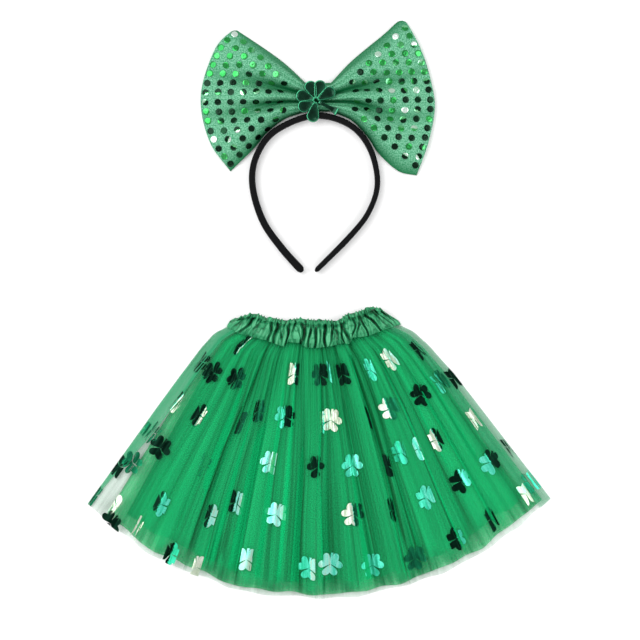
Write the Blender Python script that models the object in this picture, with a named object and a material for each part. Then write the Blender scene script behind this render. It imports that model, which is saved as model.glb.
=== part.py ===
"""A shamrock tutu costume laid flat: a gathered tulle skirt, and above it a headband with a large bow.

The skirt is a fan. Its pleats run out from one point, the fan's apex, so each ring of a layer has a
radius from the apex and an angle from straight down. Each layer is one tube of cloth pressed flat:
a pleated front, a plain back that rests on the table, and a fold down each side. Sizes are in
millimetres and degrees, and z is 0 on the table.
"""

import math

import bmesh
import bpy
import numpy as np

MM = 0.001
CLEARANCE = 0.3

# The fan of the skirt
APEX_X = -7.0
APEX_Y = 123.5
CLOTH_WALL = 1.2
TULLE_TOP_RADIUS = 157.0
HEM_RADIUS = 412.0
HEM_RISE_PER_SQUARE_DEGREE = 0.0165
HEM_LOWEST_ANGLE = 2.3
HEM_RIPPLE = 1.6
HEM_RIPPLE_WAVES = (41.0, 17.0)
SIDE_FOLD_WIDTH = 3.0
SIDE_FOLD_HEIGHT = 2.8
SIDE_FOLD_TURNS = (45.0, 90.0, 135.0)
RISE_MARGIN = 1.5
INNERMOST_RISE = 6.0

# Where the sides of the outer tulle run: radius, angle of the left fold, angle of the right fold
SIDE_FOLDS = (
    (157.0, -29.3, 30.4),
    (163.0, -30.6, 31.8),
    (178.0, -33.5, 34.8),
    (200.0, -34.4, 36.2),
    (240.0, -34.8, 37.1),
    (280.0, -35.0, 37.2),
    (412.0, -35.22, 37.36),
)

# Each pleat of the front: where its left valley lies at the waist and at the hem, as a share of the
# width, how high it stands and which way it leans
PLEATS = (
    (0.000, 0.000, 0.55, 0.00),
    (0.070, 0.024, 0.80, 0.35),
    (0.105, 0.070, 1.00, 0.30),
    (0.140, 0.115, 0.80, 0.10),
    (0.175, 0.155, 1.05, 0.35),
    (0.215, 0.195, 1.10, 0.45),
    (0.252, 0.231, 0.85, -0.20),
    (0.290, 0.278, 1.10, -0.35),
    (0.330, 0.328, 0.90, 0.20),
    (0.372, 0.372, 1.05, 0.35),
    (0.418, 0.416, 1.00, -0.30),
    (0.470, 0.455, 1.20, 0.50),
    (0.530, 0.492, 1.00, -0.40),
    (0.560, 0.548, 0.90, 0.15),
    (0.592, 0.605, 0.95, -0.30),
    (0.632, 0.640, 1.10, 0.40),
    (0.675, 0.675, 1.05, -0.45),
    (0.715, 0.716, 0.85, -0.15),
    (0.755, 0.757, 1.00, 0.30),
    (0.796, 0.798, 1.10, -0.40),
    (0.840, 0.840, 0.80, -0.20),
    (0.878, 0.876, 1.00, -0.35),
    (0.912, 0.911, 0.90, 0.20),
    (0.952, 0.956, 0.60, -0.20),
)
PLEAT_HEIGHT_PER_WIDTH = 0.36
# The pleats' height at the waist as a share of that at the hem, and how soon below the waist they have
# grown to it and the valleys have reached their places at the hem
CREST_AT_WAIST = 0.35
CREST_GROWTH = 1.5
VALLEY_DRIFT = 1.2

# The layers from the outside in. crest is how high the pleats stand at the hem, insets how far the
# sides lie inside the outer tulle's at the waist, at the left of the hem and at the right of it,
# every how many of the pleats above share one here, and rings where the wall is shaped from the
# waistband to the hem
LAYERS = (
    {"name": "outer_tulle", "crest": 7.0, "insets": (0.0, 0.0, 0.0), "hem_inset": 0.0, "every": 1,
     "samples": 5, "rings": (0.12, 0.4, 0.72, 1.0), "back_samples": 14},
    {"name": "middle_tulle", "crest": 2.4, "insets": (6.5, 29.0, 13.0), "hem_inset": 7.0, "every": 2,
     "samples": 4, "rings": (0.12, 0.4, 0.72, 1.0), "back_samples": 10},
    {"name": "inner_tulle", "crest": 1.0, "insets": (13.0, 46.0, 29.0), "hem_inset": 16.0, "every": 4,
     "samples": 4, "rings": (0.12, 0.4, 0.72, 1.0), "back_samples": 8},
)

# The tulle over the waistband's back wall is lifted by this much, and lies flat again further out
WAIST_LIFT = 1.5
TUCK_UNDER_BAND = 6.0
LIFT_FADE = 9.0

# The waistband's edges: angle, radius of the ruffled top, radius of the seam
BAND_EDGES = (
    (-31.8, 159.0, 164.6),
    (-28.5, 148.5, 164.6),
    (-26.0, 142.1, 164.0),
    (-22.0, 138.9, 162.4),
    (-12.0, 136.8, 162.4),
    (-6.0, 132.8, 160.6),
    (2.0, 134.2, 161.8),
    (11.3, 137.2, 161.6),
    (15.0, 133.2, 160.4),
    (26.0, 134.2, 160.8),
    (29.0, 139.5, 162.4),
    (31.0, 149.0, 163.6),
    (33.2, 161.3, 164.8),
)
# How high the inner face of the band's front lies over the table: radius, height
BAND_HEIGHTS = ((133.0, 5.2), (140.0, 9.6), (149.0, 13.6), (157.0, 14.4), (165.0, 14.8))
# The rings of the band: share of the way from the top to the seam, height of the gathers there
BAND_RINGS = ((0.0, 2.2), (0.25, 2.6), (0.55, 2.2), (1.0, 3.0))
# The gathers: how many, how far their valleys stray as a share of a gather, how far they lean to
# either side at most, their mean height and how much it varies
BAND_GATHERS = 24
GATHER_STRAY = 0.25
GATHER_LEAN = 0.3
GATHER_HEIGHT = 0.8
GATHER_VARIATION = 0.25
BAND_SAMPLES_PER_GATHER = 4
BAND_BACK_SAMPLES = 14
BAND_END_HEIGHT = 7.2
BAND_END_RISE = 6.0
# The ruffle of the top edge: how far it goes in and out, and how far down the band
BAND_RUFFLE = 1.3
BAND_RUFFLE_SHARE = 0.22
RUFFLE_MIDDLE = 0.4

# The hoop of the headband: the line down its middle from one tip to the other, as x and y
HOOP_LINE = (
    (-16.2, 37.6),
    (-37.5, 61.5),
    (-56.5, 89.5),
    (-66.5, 125.0),
    (-62.0, 154.0),
    (-43.0, 178.5),
    (-5.0, 193.3),
    (30.0, 184.5),
    (50.5, 161.0),
    (58.3, 127.0),
    (50.0, 98.0),
    (31.0, 73.0),
    (-3.8, 37.8),
)
# Half of the hoop's thickness along that line: share of the way, half thickness
HOOP_HALF_THICKNESS = ((0.0, 3.8), (0.2, 3.5), (0.35, 3.2), (0.5, 3.4), (0.8, 3.2), (0.9, 3.4), (1.0, 2.7))
HOOP_DEPTH = 12.0
HOOP_STATIONS = 44
# The rounding of the tips: over how many stations, how much narrower and how much lower they get
HOOP_TIP_STATIONS = 3
HOOP_TIP_NARROWING = 0.8
HOOP_TIP_LOWERING = 0.4
# The corners of its section: share of the half thickness, share of the depth
HOOP_SECTION = ((-0.55, 0.0), (0.55, 0.0), (1.0, 0.2), (1.0, 0.8), (0.55, 1.0), (-0.55, 1.0), (-1.0, 0.8),
                (-1.0, 0.2))

# The bow: half of its cinched middle, then the outline of each wing as x and y
KNOT_LEFT = ((-13.0, 226.0), (-13.0, 197.6))
KNOT_RIGHT = ((12.0, 226.5), (12.0, 197.6))
LEFT_WING = {
    "top": (KNOT_LEFT[0], (-39.0, 249.5), (-82.0, 279.0)),
    "outer": (
        (-82.0, 279.0), (-88.5, 276.8), (-103.0, 261.0), (-115.5, 228.0), (-117.5, 199.0), (-108.0, 165.0),
        (-88.5, 138.0),
    ),
    "bottom": (KNOT_LEFT[1], (-34.5, 190.0), (-52.5, 176.0), (-64.5, 161.5), (-88.5, 138.0)),
}
RIGHT_WING = {
    "top": (KNOT_RIGHT[0], (33.0, 248.5), (65.0, 275.0), (78.0, 287.0), (83.5, 288.7)),
    "outer": (
        (83.5, 288.7), (89.0, 284.0), (104.0, 254.0), (113.0, 222.0), (115.5, 199.0), (109.0, 166.0),
        (97.5, 134.0),
    ),
    "bottom": (KNOT_RIGHT[1], (32.5, 188.8), (49.0, 171.5), (59.5, 156.0), (79.0, 138.5), (97.5, 134.0)),
}
BOW_EDGE_HEIGHT = 3.0
BOW_ROWS_ACROSS = 25
BOW_COLUMNS_PER_WING = 9
BOW_CROWDING_AT_KNOT = 1.15
# How round the ridges and the whole wing are across, from 0, square, to 1, a sine; how high a filled
# crease is beside a ridge; how much thinner the edge at the outer end is, and over which share
RIDGE_ROUNDNESS = 0.85
WING_ROUNDNESS = 0.5
FILLED_HEIGHT = 0.85
OUTER_EDGE_THINNING = 0.45
OUTER_EDGE_SHARE = 0.15
# The wing along its length: share of the way out, height of its ridges, place of the upper crease and
# of the lower one across the wing, and how far the creases have filled in
WING_SECTIONS = (
    (0.00, 8.4, 0.42, 0.66, 0.10),
    (0.10, 8.8, 0.43, 0.66, 0.12),
    (0.30, 15.0, 0.42, 0.67, 0.22),
    (0.60, 13.0, 0.37, 0.64, 0.55),
    (1.00, 5.0, 0.34, 0.61, 1.00),
)

# The shamrock in the middle of the bow: six lobes, two for each leaf, and a stem
SHAMROCK_X = -3.0
SHAMROCK_Y = 208.0
SHAMROCK_BACK = 12.3
SHAMROCK_RIM = 2.0
SHAMROCK_DOME = 3.6
LOBE_ANGLES = (30.0, 74.0, 112.0, 163.0, 207.0, 259.0)
LOBE_DISTANCE = 14.6
LOBE_RADIUS = 6.6
STEM_ANGLE = 331.0
STEM_LENGTH = 24.0
STEM_HALF_WIDTH = 3.0
STEM_HALF_ANGLE = 60.0
SHAMROCK_HUB = 4.5
SHAMROCK_SPOKES = 96
# How the face rises from the middle to the rim: share of the way out, share of the dome's height
DOME_PROFILE = ((0.3, 0.45), (0.62, 0.95), (0.88, 0.60), (1.0, 0.15))

COLOURS = {
    "printed_tulle": (0.30, 0.52, 0.36, 1.0),
    "green_tulle": (0.01, 0.38, 0.13, 1.0),
    "satin": (0.04, 0.36, 0.15, 1.0),
    "sequin_cloth": (0.12, 0.50, 0.28, 1.0),
    "black_satin": (0.008, 0.008, 0.010, 1.0),
    "green_foil": (0.01, 0.13, 0.05, 1.0),
}


def clear_scene():
    for old in list(bpy.data.objects):
        bpy.data.objects.remove(old, do_unlink=True)


def finish_material(name, roughness, metallic=0.0):
    material = bpy.data.materials.new(name)
    material.use_nodes = True
    shader = material.node_tree.nodes["Principled BSDF"]
    shader.inputs["Base Color"].default_value = COLOURS[name]
    shader.inputs["Roughness"].default_value = roughness
    shader.inputs["Metallic"].default_value = metallic
    return material


def smoothstep(x):
    x = np.clip(x, 0.0, 1.0)
    return x * x * (3.0 - 2.0 * x)


def column(table, key, value):
    """The value of a table's column, read between its rows by the first column."""
    rows = np.array(table, float)
    return np.interp(key, rows[:, 0], rows[:, value])


def smooth_line(points, shares):
    """Points at these shares of the length of a smooth curve through the given ones."""
    given = np.array(points, float)
    padded = np.vstack([2 * given[0] - given[1], given, 2 * given[-1] - given[-2]])
    fine = []
    for i in range(1, len(padded) - 2):
        before, start, end, after = padded[i - 1 : i + 3]
        for u in np.linspace(0.0, 1.0, 24, endpoint=False):
            pull = (end - before) * u + (2 * before - 5 * start + 4 * end - after) * u * u
            fine.append(start + 0.5 * (pull + (3 * start - before - 3 * end + after) * u**3))
    fine = np.array([*fine, given[-1]])
    walked = np.concatenate([[0.0], np.cumsum(np.linalg.norm(np.diff(fine, axis=0), axis=1))])
    places = np.array(shares) * walked[-1]
    return np.stack([np.interp(places, walked, fine[:, axis]) for axis in (0, 1)], axis=1)


def add_solid(name, points, triangles, material, sharp_degrees=50.0):
    """One named object from points in millimetres and a list of triangles."""
    mesh = bpy.data.meshes.new(name)
    mesh.from_pydata((np.array(points) * MM).tolist(), [], [list(map(int, t)) for t in triangles])
    work = bmesh.new()
    work.from_mesh(mesh)
    bmesh.ops.recalc_face_normals(work, faces=work.faces)
    if work.calc_volume(signed=True) < 0:
        bmesh.ops.reverse_faces(work, faces=work.faces)
    work.to_mesh(mesh)
    work.free()
    mesh.shade_smooth()
    mesh.set_sharp_from_angle(angle=math.radians(sharp_degrees))
    mesh.materials.append(material)
    solid = bpy.data.objects.new(name, mesh)
    bpy.context.scene.collection.objects.link(solid)
    return solid


def grid_triangles(rows, columns, first=0, closed=False):
    """Two triangles for each cell of a grid whose points are numbered row by row."""
    made = []
    for i in range(rows - 1):
        for j in range(columns if closed else columns - 1):
            right = (j + 1) % columns
            a, b = first + i * columns + j, first + i * columns + right
            c, d = b + columns, a + columns
            made += [(a, b, c), (a, c, d)]
    return made


def add_tube_wall(name, outer, inner, material):
    """A tube of cloth from two stacks of closed rings, joined along both of its open ends."""
    outer, inner = np.array(outer), np.array(inner)
    rings, around = outer.shape[:2]
    shift = rings * around
    triangles = grid_triangles(rings, around, closed=True)
    triangles += [(c, b, a) for a, b, c in grid_triangles(rings, around, shift, closed=True)]
    for start in (0, (rings - 1) * around):
        for j in range(around):
            a, b = start + j, start + (j + 1) % around
            c, d = b + shift, a + shift
            triangles += [(a, b, c), (a, c, d)] if start else [(c, b, a), (d, c, a)]
    points = np.vstack([outer.reshape(-1, 3), inner.reshape(-1, 3)])
    return add_solid(name, points, triangles, material)


def fan_point(angle, radius, z):
    """A place on the fan: angles in degrees from straight down, to the right."""
    turn = np.radians(angle)
    return np.stack([APEX_X + radius * np.sin(turn), APEX_Y - radius * np.cos(turn), z], axis=-1)


def hem_radius(angle):
    turn = np.radians(angle)
    short_wave, long_wave = HEM_RIPPLE_WAVES
    ripple = HEM_RIPPLE * np.sin(short_wave * turn) * np.cos(long_wave * turn + 1.0)
    return HEM_RADIUS - HEM_RISE_PER_SQUARE_DEGREE * (angle - HEM_LOWEST_ANGLE) ** 2 + ripple


def pleat_profile(valleys, heights, leans, samples):
    """Shares of the width at each sample of a pleated front, and its height there from 0 to 1.

    A pleat is a hump between two valleys, leaning to one side. Its height is also given as a part of
    its own width, so that narrow pleats stay low.
    """
    places, humps, widths = [], [], []
    for i, (height, lean) in enumerate(zip(heights, leans)):
        width = valleys[i + 1] - valleys[i]
        for q in np.arange(samples) / samples:
            places.append(valleys[i] + width * q)
            humps.append(height * math.sin(math.pi * q ** (2.0**-lean)) ** 2)
            widths.append(width)
    places.append(valleys[-1])
    humps.append(0.0)
    widths.append(width)
    return np.array(places), np.array(humps), np.array(widths)


def flattened_ring(radius_of, left, right, base, under, rises, end_height, back_samples):
    """One ring of a flattened tube: its outer loop and its inner loop.

    radius_of gives the radius at an angle. under gives, at shares of the width, the height of the
    front wall's lower face over the base. The front comes down to the left and right side folds over
    the two distances in rises, and ends at end_height.
    """
    shares, heights = under
    middle = 0.5 * (left + right)
    per_degree = math.radians(1.0) * float(radius_of(np.array(middle)))
    width = (right - left) * per_degree
    along = SIDE_FOLD_WIDTH + shares * (width - 2 * SIDE_FOLD_WIDTH)
    climb_left = smoothstep((along - SIDE_FOLD_WIDTH) / rises[0])
    climb_right = smoothstep((width - SIDE_FOLD_WIDTH - along) / rises[1])
    lowest = end_height - CLOTH_WALL
    lower = base + lowest + (heights - lowest) * climb_left * climb_right
    back = SIDE_FOLD_WIDTH + np.linspace(1.0, 0.0, back_samples) * (width - 2 * SIDE_FOLD_WIDTH)
    turns = np.radians(SIDE_FOLD_TURNS)
    loops = []
    for inset in (0.0, CLOTH_WALL):
        half = 0.5 * end_height - inset
        across = (SIDE_FOLD_WIDTH - inset) * np.sin(turns)
        lift = base + 0.5 * end_height + half * np.cos(turns)
        right_fold = np.stack([width - SIDE_FOLD_WIDTH + across, lift], axis=1)
        left_fold = np.stack([SIDE_FOLD_WIDTH - across, lift], axis=1)[::-1]
        front = np.stack([along, lower + CLOTH_WALL - inset], axis=1)
        under_side = np.stack([back, np.full(back_samples, base + inset)], axis=1)
        loop = np.vstack([front, right_fold, under_side, left_fold])
        angles = left + loop[:, 0] / per_degree
        loops.append(fan_point(angles, radius_of(angles), loop[:, 1]))
    return loops


def crest_limit(layer, out):
    """How high a layer's pleats may stand, for how far out they are from the waist to the hem."""
    return layer["crest"] * (CREST_AT_WAIST + (1.0 - CREST_AT_WAIST) * smoothstep(CREST_GROWTH * out))


def side_insets(layer, out):
    """How far in from the outer tulle's left and right side folds this layer's lie."""
    waist, left_hem, right_hem = layer["insets"]
    return waist + (left_hem - waist) * out, waist + (right_hem - waist) * out


def tulle_ring(order, layer, radius_of, radius):
    """One ring of a layer of tulle, which clears the layers it holds."""
    out = (radius - TULLE_TOP_RADIUS) / (HEM_RADIUS - TULLE_TOP_RADIUS)
    per_degree = math.radians(1.0) * radius
    inset_left, inset_right = side_insets(layer, out)
    left = column(SIDE_FOLDS, radius, 1) + inset_left / per_degree
    right = column(SIDE_FOLDS, radius, 2) - inset_right / per_degree
    table = np.array(PLEATS, float)[:: layer["every"]]
    valleys = np.append(table[:, 0] + (table[:, 1] - table[:, 0]) * smoothstep(VALLEY_DRIFT * out), 1.0)
    swell = table[:, 2] / table[:, 2].max()
    shares, humps, widths = pleat_profile(valleys, swell, table[:, 3], layer["samples"])
    steepest = widths * (right - left) * per_degree * PLEAT_HEIGHT_PER_WIDTH
    held = LAYERS[order + 1 :]
    walls = (1 + 2 * len(held)) * (CLOTH_WALL + CLEARANCE)
    heights = walls + sum(crest_limit(other, out) for other in held)
    heights = heights + humps * np.minimum(steepest, crest_limit(layer, out))
    base = order * (CLOTH_WALL + CLEARANCE)
    base += WAIST_LIFT * (1.0 - smoothstep((radius - TULLE_TOP_RADIUS - TUCK_UNDER_BAND) / LIFT_FADE))
    rises = (INNERMOST_RISE, INNERMOST_RISE)
    if held:
        beyond = side_insets(held[0], out)
        rises = (beyond[0] - inset_left - RISE_MARGIN, beyond[1] - inset_right - RISE_MARGIN)
    return flattened_ring(
        radius_of, left, right, base, (shares, heights), rises, SIDE_FOLD_HEIGHT, layer["back_samples"]
    )


def make_tulle(order, layer, material):
    """One layer of tulle: a gathered strip sewn into a tube and pressed flat."""
    rings = []
    near_band = [(0.0, 0.0), (TUCK_UNDER_BAND, 0.0), (TUCK_UNDER_BAND + LIFT_FADE, 0.0)]
    for offset, share in near_band + [(TUCK_UNDER_BAND + LIFT_FADE, share) for share in layer["rings"]]:

        def radius_of(angle, start=TULLE_TOP_RADIUS + offset, share=share):
            return start + (hem_radius(angle) - layer["hem_inset"] - start) * share

        rings.append(tulle_ring(order, layer, radius_of, float(radius_of(np.array(0.0)))))
    outer, inner = zip(*rings)
    add_tube_wall(layer["name"], outer, inner, material)


def make_skirt():
    """Three layers of tulle, each inside the next, tucked under the waistband."""
    printed = finish_material("printed_tulle", 0.6)
    green = finish_material("green_tulle", 0.7)
    for order, layer in enumerate(LAYERS):
        make_tulle(order, layer, green if order else printed)


def make_waistband():
    """The satin casing round the elastic: gathered in front, plain where it rests."""
    satin = finish_material("satin", 0.35)
    rings_outer, rings_inner = [], []
    counted = np.arange(BAND_GATHERS + 1)
    stray = GATHER_STRAY * np.sin(counted * 2.4)
    stray[[0, -1]] = 0.0
    valleys = (counted + stray) / BAND_GATHERS
    leans = GATHER_LEAN * np.sin(counted[:-1] * 1.9)
    swell = GATHER_HEIGHT + GATHER_VARIATION * np.sin(counted[:-1] * 3.1 + 0.6)
    shares, humps, _ = pleat_profile(valleys, swell, leans, BAND_SAMPLES_PER_GATHER)
    left, right = BAND_EDGES[0][0], BAND_EDGES[-1][0]
    sample_angles = left + (right - left) * shares
    for share, gather in BAND_RINGS:
        ruffle = BAND_RUFFLE * (1.0 - min(share / BAND_RUFFLE_SHARE, 1.0)) * (humps - RUFFLE_MIDDLE)

        def radius_of(angle, share=share, ruffle=ruffle):
            top, seam = column(BAND_EDGES, angle, 1), column(BAND_EDGES, angle, 2)
            return top + (seam - top) * share - np.interp(angle, sample_angles, ruffle)

        heights = column(BAND_HEIGHTS, radius_of(sample_angles), 1) + humps * gather
        outer, inner = flattened_ring(
            radius_of, left, right, 0.0, (shares, heights), (BAND_END_RISE, BAND_END_RISE),
            BAND_END_HEIGHT, BAND_BACK_SAMPLES,
        )
        rings_outer.append(outer)
        rings_inner.append(inner)
    add_tube_wall("waistband", rings_outer, rings_inner, satin)


def make_hoop():
    """The satin-covered hoop, lying on its edge, with a rounded tip at each end."""
    black = finish_material("black_satin", 0.55)
    shares = np.linspace(0.0, 1.0, HOOP_STATIONS)
    line = smooth_line(HOOP_LINE, shares)
    ahead = np.gradient(line, axis=0)
    ahead /= np.linalg.norm(ahead, axis=1)[:, None]
    sideways = np.stack([ahead[:, 1], -ahead[:, 0]], axis=1)
    around = len(HOOP_SECTION)
    points = []
    for i, (place, side) in enumerate(zip(line, sideways)):
        from_tip = min(min(i, HOOP_STATIONS - 1 - i) / HOOP_TIP_STATIONS, 1.0)
        taper = math.sqrt(1.0 - HOOP_TIP_NARROWING * (1.0 - from_tip) ** 2)
        half = column(HOOP_HALF_THICKNESS, shares[i], 1) * taper
        height = HOOP_DEPTH * (1.0 - HOOP_TIP_LOWERING * (1.0 - taper))
        for across, up in HOOP_SECTION:
            x, y = place + side * across * half
            points.append((x, y, height * up))
    triangles = grid_triangles(HOOP_STATIONS, around, closed=True)
    last = (HOOP_STATIONS - 1) * around
    for j in range(1, around - 1):
        triangles += [(0, j + 1, j), (last, last + j, last + j + 1)]
    add_solid("headband", points, triangles, black)


def wing_points(wing, knot, alongs, acrosses):
    """The plan of a wing: a patch between the knot, the two long edges and the outer edge."""
    top, bottom = smooth_line(wing["top"], alongs), smooth_line(wing["bottom"], alongs)
    outer = smooth_line(wing["outer"], acrosses)
    start, end = np.array(knot[0]), np.array(knot[1])
    inner = start + (end - start) * np.array(acrosses)[:, None]
    a, b = np.array(alongs)[:, None, None], np.array(acrosses)[None, :, None]
    edges = (1 - b) * top[:, None] + b * bottom[:, None] + (1 - a) * inner[None] + a * outer[None]
    corners = (1 - a) * ((1 - b) * top[0] + b * bottom[0]) + a * ((1 - b) * top[-1] + b * bottom[-1])
    return edges - corners


def wing_heights(alongs, acrosses):
    """The wing's upper face: three ridges with two creases between them, which fade outwards."""
    heights = np.zeros((len(alongs), len(acrosses)))
    for i, along in enumerate(alongs):
        ridge, upper, lower, filled = (column(WING_SECTIONS, along, k) for k in (1, 2, 3, 4))
        bounds = np.array([0.0, upper, lower, 1.0])
        for j, across in enumerate(acrosses):
            part = min(int(np.searchsorted(bounds, across, side="right")) - 1, 2)
            q = (across - bounds[part]) / (bounds[part + 1] - bounds[part])
            hump = math.sin(math.pi * q) ** RIDGE_ROUNDNESS
            whole = math.sin(math.pi * across) ** WING_ROUNDNESS
            outer_part = (along - 1.0 + OUTER_EDGE_SHARE) / OUTER_EDGE_SHARE
            edge = BOW_EDGE_HEIGHT * (1.0 - OUTER_EDGE_THINNING * smoothstep(outer_part))
            heights[i, j] = edge + ridge * max(hump, filled * FILLED_HEIGHT * whole)
    return heights


def make_bow():
    """The bow: two plies over a thin wadding, cinched in the middle, flat where it rests."""
    cloth = finish_material("sequin_cloth", 0.5)
    acrosses = np.linspace(0.0, 1.0, BOW_ROWS_ACROSS)
    alongs = np.linspace(0.0, 1.0, BOW_COLUMNS_PER_WING) ** BOW_CROWDING_AT_KNOT
    heights = wing_heights(alongs, acrosses)
    left = wing_points(LEFT_WING, KNOT_LEFT, alongs, acrosses)[::-1]
    right = wing_points(RIGHT_WING, KNOT_RIGHT, alongs, acrosses)
    plan = np.concatenate([left, right])
    top = np.concatenate([plan, np.concatenate([heights[::-1], heights])[..., None]], axis=2)
    bottom = top.copy()
    bottom[..., 2] = 0.0
    rows, columns = top.shape[:2]
    shift = rows * columns
    triangles = grid_triangles(rows, columns)
    triangles += [(c, b, a) for a, b, c in grid_triangles(rows, columns, shift)]
    rim = [(i, 0) for i in range(rows)] + [(rows - 1, j) for j in range(1, columns)]
    rim += [(i, columns - 1) for i in range(rows - 2, -1, -1)] + [(0, j) for j in range(columns - 2, 0, -1)]
    rim = [i * columns + j for i, j in rim]
    for a, b in zip(rim, rim[1:] + rim[:1]):
        triangles += [(b, a, a + shift), (b, a + shift, b + shift)]
    points = np.vstack([top.reshape(-1, 3), bottom.reshape(-1, 3)])
    add_solid("bow", points, triangles, cloth, sharp_degrees=70.0)


def lobe_reach(angle, lobe):
    """How far a lobe's outline is from the shamrock's centre at this angle, or 0 beside it."""
    off = math.radians((angle - lobe + 180.0) % 360.0 - 180.0)
    if abs(off) >= math.asin(LOBE_RADIUS / LOBE_DISTANCE):
        return 0.0
    return LOBE_DISTANCE * math.cos(off) + math.sqrt(LOBE_RADIUS**2 - (LOBE_DISTANCE * math.sin(off)) ** 2)


def stem_reach(angle):
    off = math.radians((angle - STEM_ANGLE + 180.0) % 360.0 - 180.0)
    if abs(off) >= math.radians(STEM_HALF_ANGLE):
        return 0.0
    return min(STEM_LENGTH / math.cos(off), STEM_HALF_WIDTH / max(abs(math.sin(off)), 1e-6))


def outline_reach(angle):
    """How far the shamrock's outline is from its centre at this angle."""
    lobes = [lobe_reach(angle, lobe) for lobe in LOBE_ANGLES]
    return max(SHAMROCK_HUB, stem_reach(angle), *lobes)


def make_shamrock():
    """The moulded shamrock that covers the cinched middle, and lies on it and on the hoop."""
    foil = finish_material("green_foil", 0.25, metallic=0.9)
    face = SHAMROCK_BACK + SHAMROCK_RIM
    points = [(SHAMROCK_X, SHAMROCK_Y, SHAMROCK_BACK), (SHAMROCK_X, SHAMROCK_Y, face)]
    turns = np.arange(SHAMROCK_SPOKES) * 360.0 / SHAMROCK_SPOKES
    reaches = np.array([outline_reach(turn) for turn in turns])
    toward = np.stack([np.cos(np.radians(turns)), np.sin(np.radians(turns))], axis=1)
    full = LOBE_DISTANCE + LOBE_RADIUS
    outline = np.array([SHAMROCK_X, SHAMROCK_Y]) + toward * reaches[:, None]
    for share, rise in DOME_PROFILE:
        places = np.array([SHAMROCK_X, SHAMROCK_Y]) + toward * (share * reaches)[:, None]
        heights = face + SHAMROCK_DOME * rise * reaches / full
        points += np.column_stack([places, heights]).tolist()
    points += np.column_stack([outline, np.full(len(outline), SHAMROCK_BACK)]).tolist()
    rings = len(DOME_PROFILE)
    triangles = grid_triangles(rings + 1, SHAMROCK_SPOKES, first=2, closed=True)
    back_ring = 2 + rings * SHAMROCK_SPOKES
    for j in range(SHAMROCK_SPOKES):
        right = (j + 1) % SHAMROCK_SPOKES
        triangles += [(1, 2 + right, 2 + j), (0, back_ring + j, back_ring + right)]
    add_solid("shamrock", points, triangles, foil, sharp_degrees=35.0)


def main():
    clear_scene()
    make_skirt()
    make_waistband()
    make_hoop()
    make_bow()
    make_shamrock()


main()
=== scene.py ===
import math

import bpy
import numpy as np
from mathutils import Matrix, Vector


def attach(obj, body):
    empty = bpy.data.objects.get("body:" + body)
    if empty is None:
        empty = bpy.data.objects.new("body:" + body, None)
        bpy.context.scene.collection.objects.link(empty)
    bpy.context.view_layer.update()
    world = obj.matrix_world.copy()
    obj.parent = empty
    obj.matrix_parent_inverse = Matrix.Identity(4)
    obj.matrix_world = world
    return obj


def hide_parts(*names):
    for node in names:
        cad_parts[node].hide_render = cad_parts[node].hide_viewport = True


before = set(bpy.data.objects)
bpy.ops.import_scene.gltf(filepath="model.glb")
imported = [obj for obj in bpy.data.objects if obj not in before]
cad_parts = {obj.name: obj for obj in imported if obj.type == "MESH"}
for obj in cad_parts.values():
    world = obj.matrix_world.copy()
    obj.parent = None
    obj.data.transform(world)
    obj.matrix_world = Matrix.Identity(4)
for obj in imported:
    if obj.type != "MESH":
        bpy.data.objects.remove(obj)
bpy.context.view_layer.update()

MM = 0.001
RNG = np.random.default_rng(17)

# The skirt's fan, as in the part's source: millimetres, and degrees from straight down
APEX_X = -7.0
APEX_Y = 123.5
TULLE_TOP_RADIUS = 154.0
HEM_RADIUS = 412.0
HEM_RISE_PER_SQUARE_DEGREE = 0.0165
HEM_LOWEST_ANGLE = 2.3
SIDE_FOLDS = (
    (157.0, -29.3, 30.4), (163.0, -30.6, 31.8), (178.0, -33.5, 34.8), (200.0, -34.4, 36.2),
    (240.0, -34.8, 37.1), (280.0, -35.0, 37.2), (412.0, -35.22, 37.36),
)
# Each pleat: its left valley at the waist and at the hem as a share of the width, its height, which
# way it leans, the depth of the small creases on it, how dark the painted shade in the valley at its
# left is, and how much lighter than the rest it is coloured
PLEATS = (
    (0.0, 0.0, 0.35, 0.0, 0.3, 0.0, 0.1), (0.07, 0.024, 0.6, 0.8, 0.5, 0.2, -0.05),
    (0.105, 0.07, 1.0, 0.6, 0.4, 0.3, 0.12), (0.14, 0.115, 0.8, 0.2, 0.8, 0.2, 0.04),
    (0.175, 0.155, 1.05, 0.8, 0.3, 0.4, 0.14), (0.215, 0.195, 1.2, 1.3, 0.6, 0.3, -0.08),
    (0.252, 0.231, 0.85, -0.3, 0.4, 1.0, -0.16), (0.29, 0.278, 1.1, -0.9, 0.8, 0.3, 0.1),
    (0.33, 0.328, 0.9, 0.5, 0.5, 0.7, -0.04), (0.372, 0.372, 1.05, 0.8, 0.3, 0.3, 0.12),
    (0.418, 0.416, 1.0, -0.7, 0.7, 0.5, -0.06), (0.47, 0.455, 1.2, 1.2, 0.4, 0.4, 0.13),
    (0.53, 0.492, 1.0, -0.9, 0.6, 1.0, -0.18), (0.56, 0.548, 0.9, 0.3, 0.4, 0.5, -0.06),
    (0.592, 0.605, 0.95, -0.6, 0.8, 0.6, 0.08), (0.632, 0.64, 1.1, 0.9, 0.3, 0.4, 0.12),
    (0.675, 0.675, 1.15, -1.3, 0.5, 1.0, -0.14), (0.715, 0.716, 0.85, -0.3, 0.8, 0.3, 0.06),
    (0.755, 0.757, 1.0, 0.6, 0.3, 0.4, 0.12), (0.796, 0.798, 1.1, -1.0, 0.6, 0.8, -0.08),
    (0.84, 0.84, 0.8, -0.4, 0.4, 0.3, 0.08), (0.878, 0.876, 1.0, -0.9, 0.5, 0.6, -0.04),
    (0.912, 0.911, 0.9, 0.3, 0.4, 0.3, 0.08), (0.952, 0.956, 0.4, -0.2, 0.3, 0.2, 0.0),
)
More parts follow.
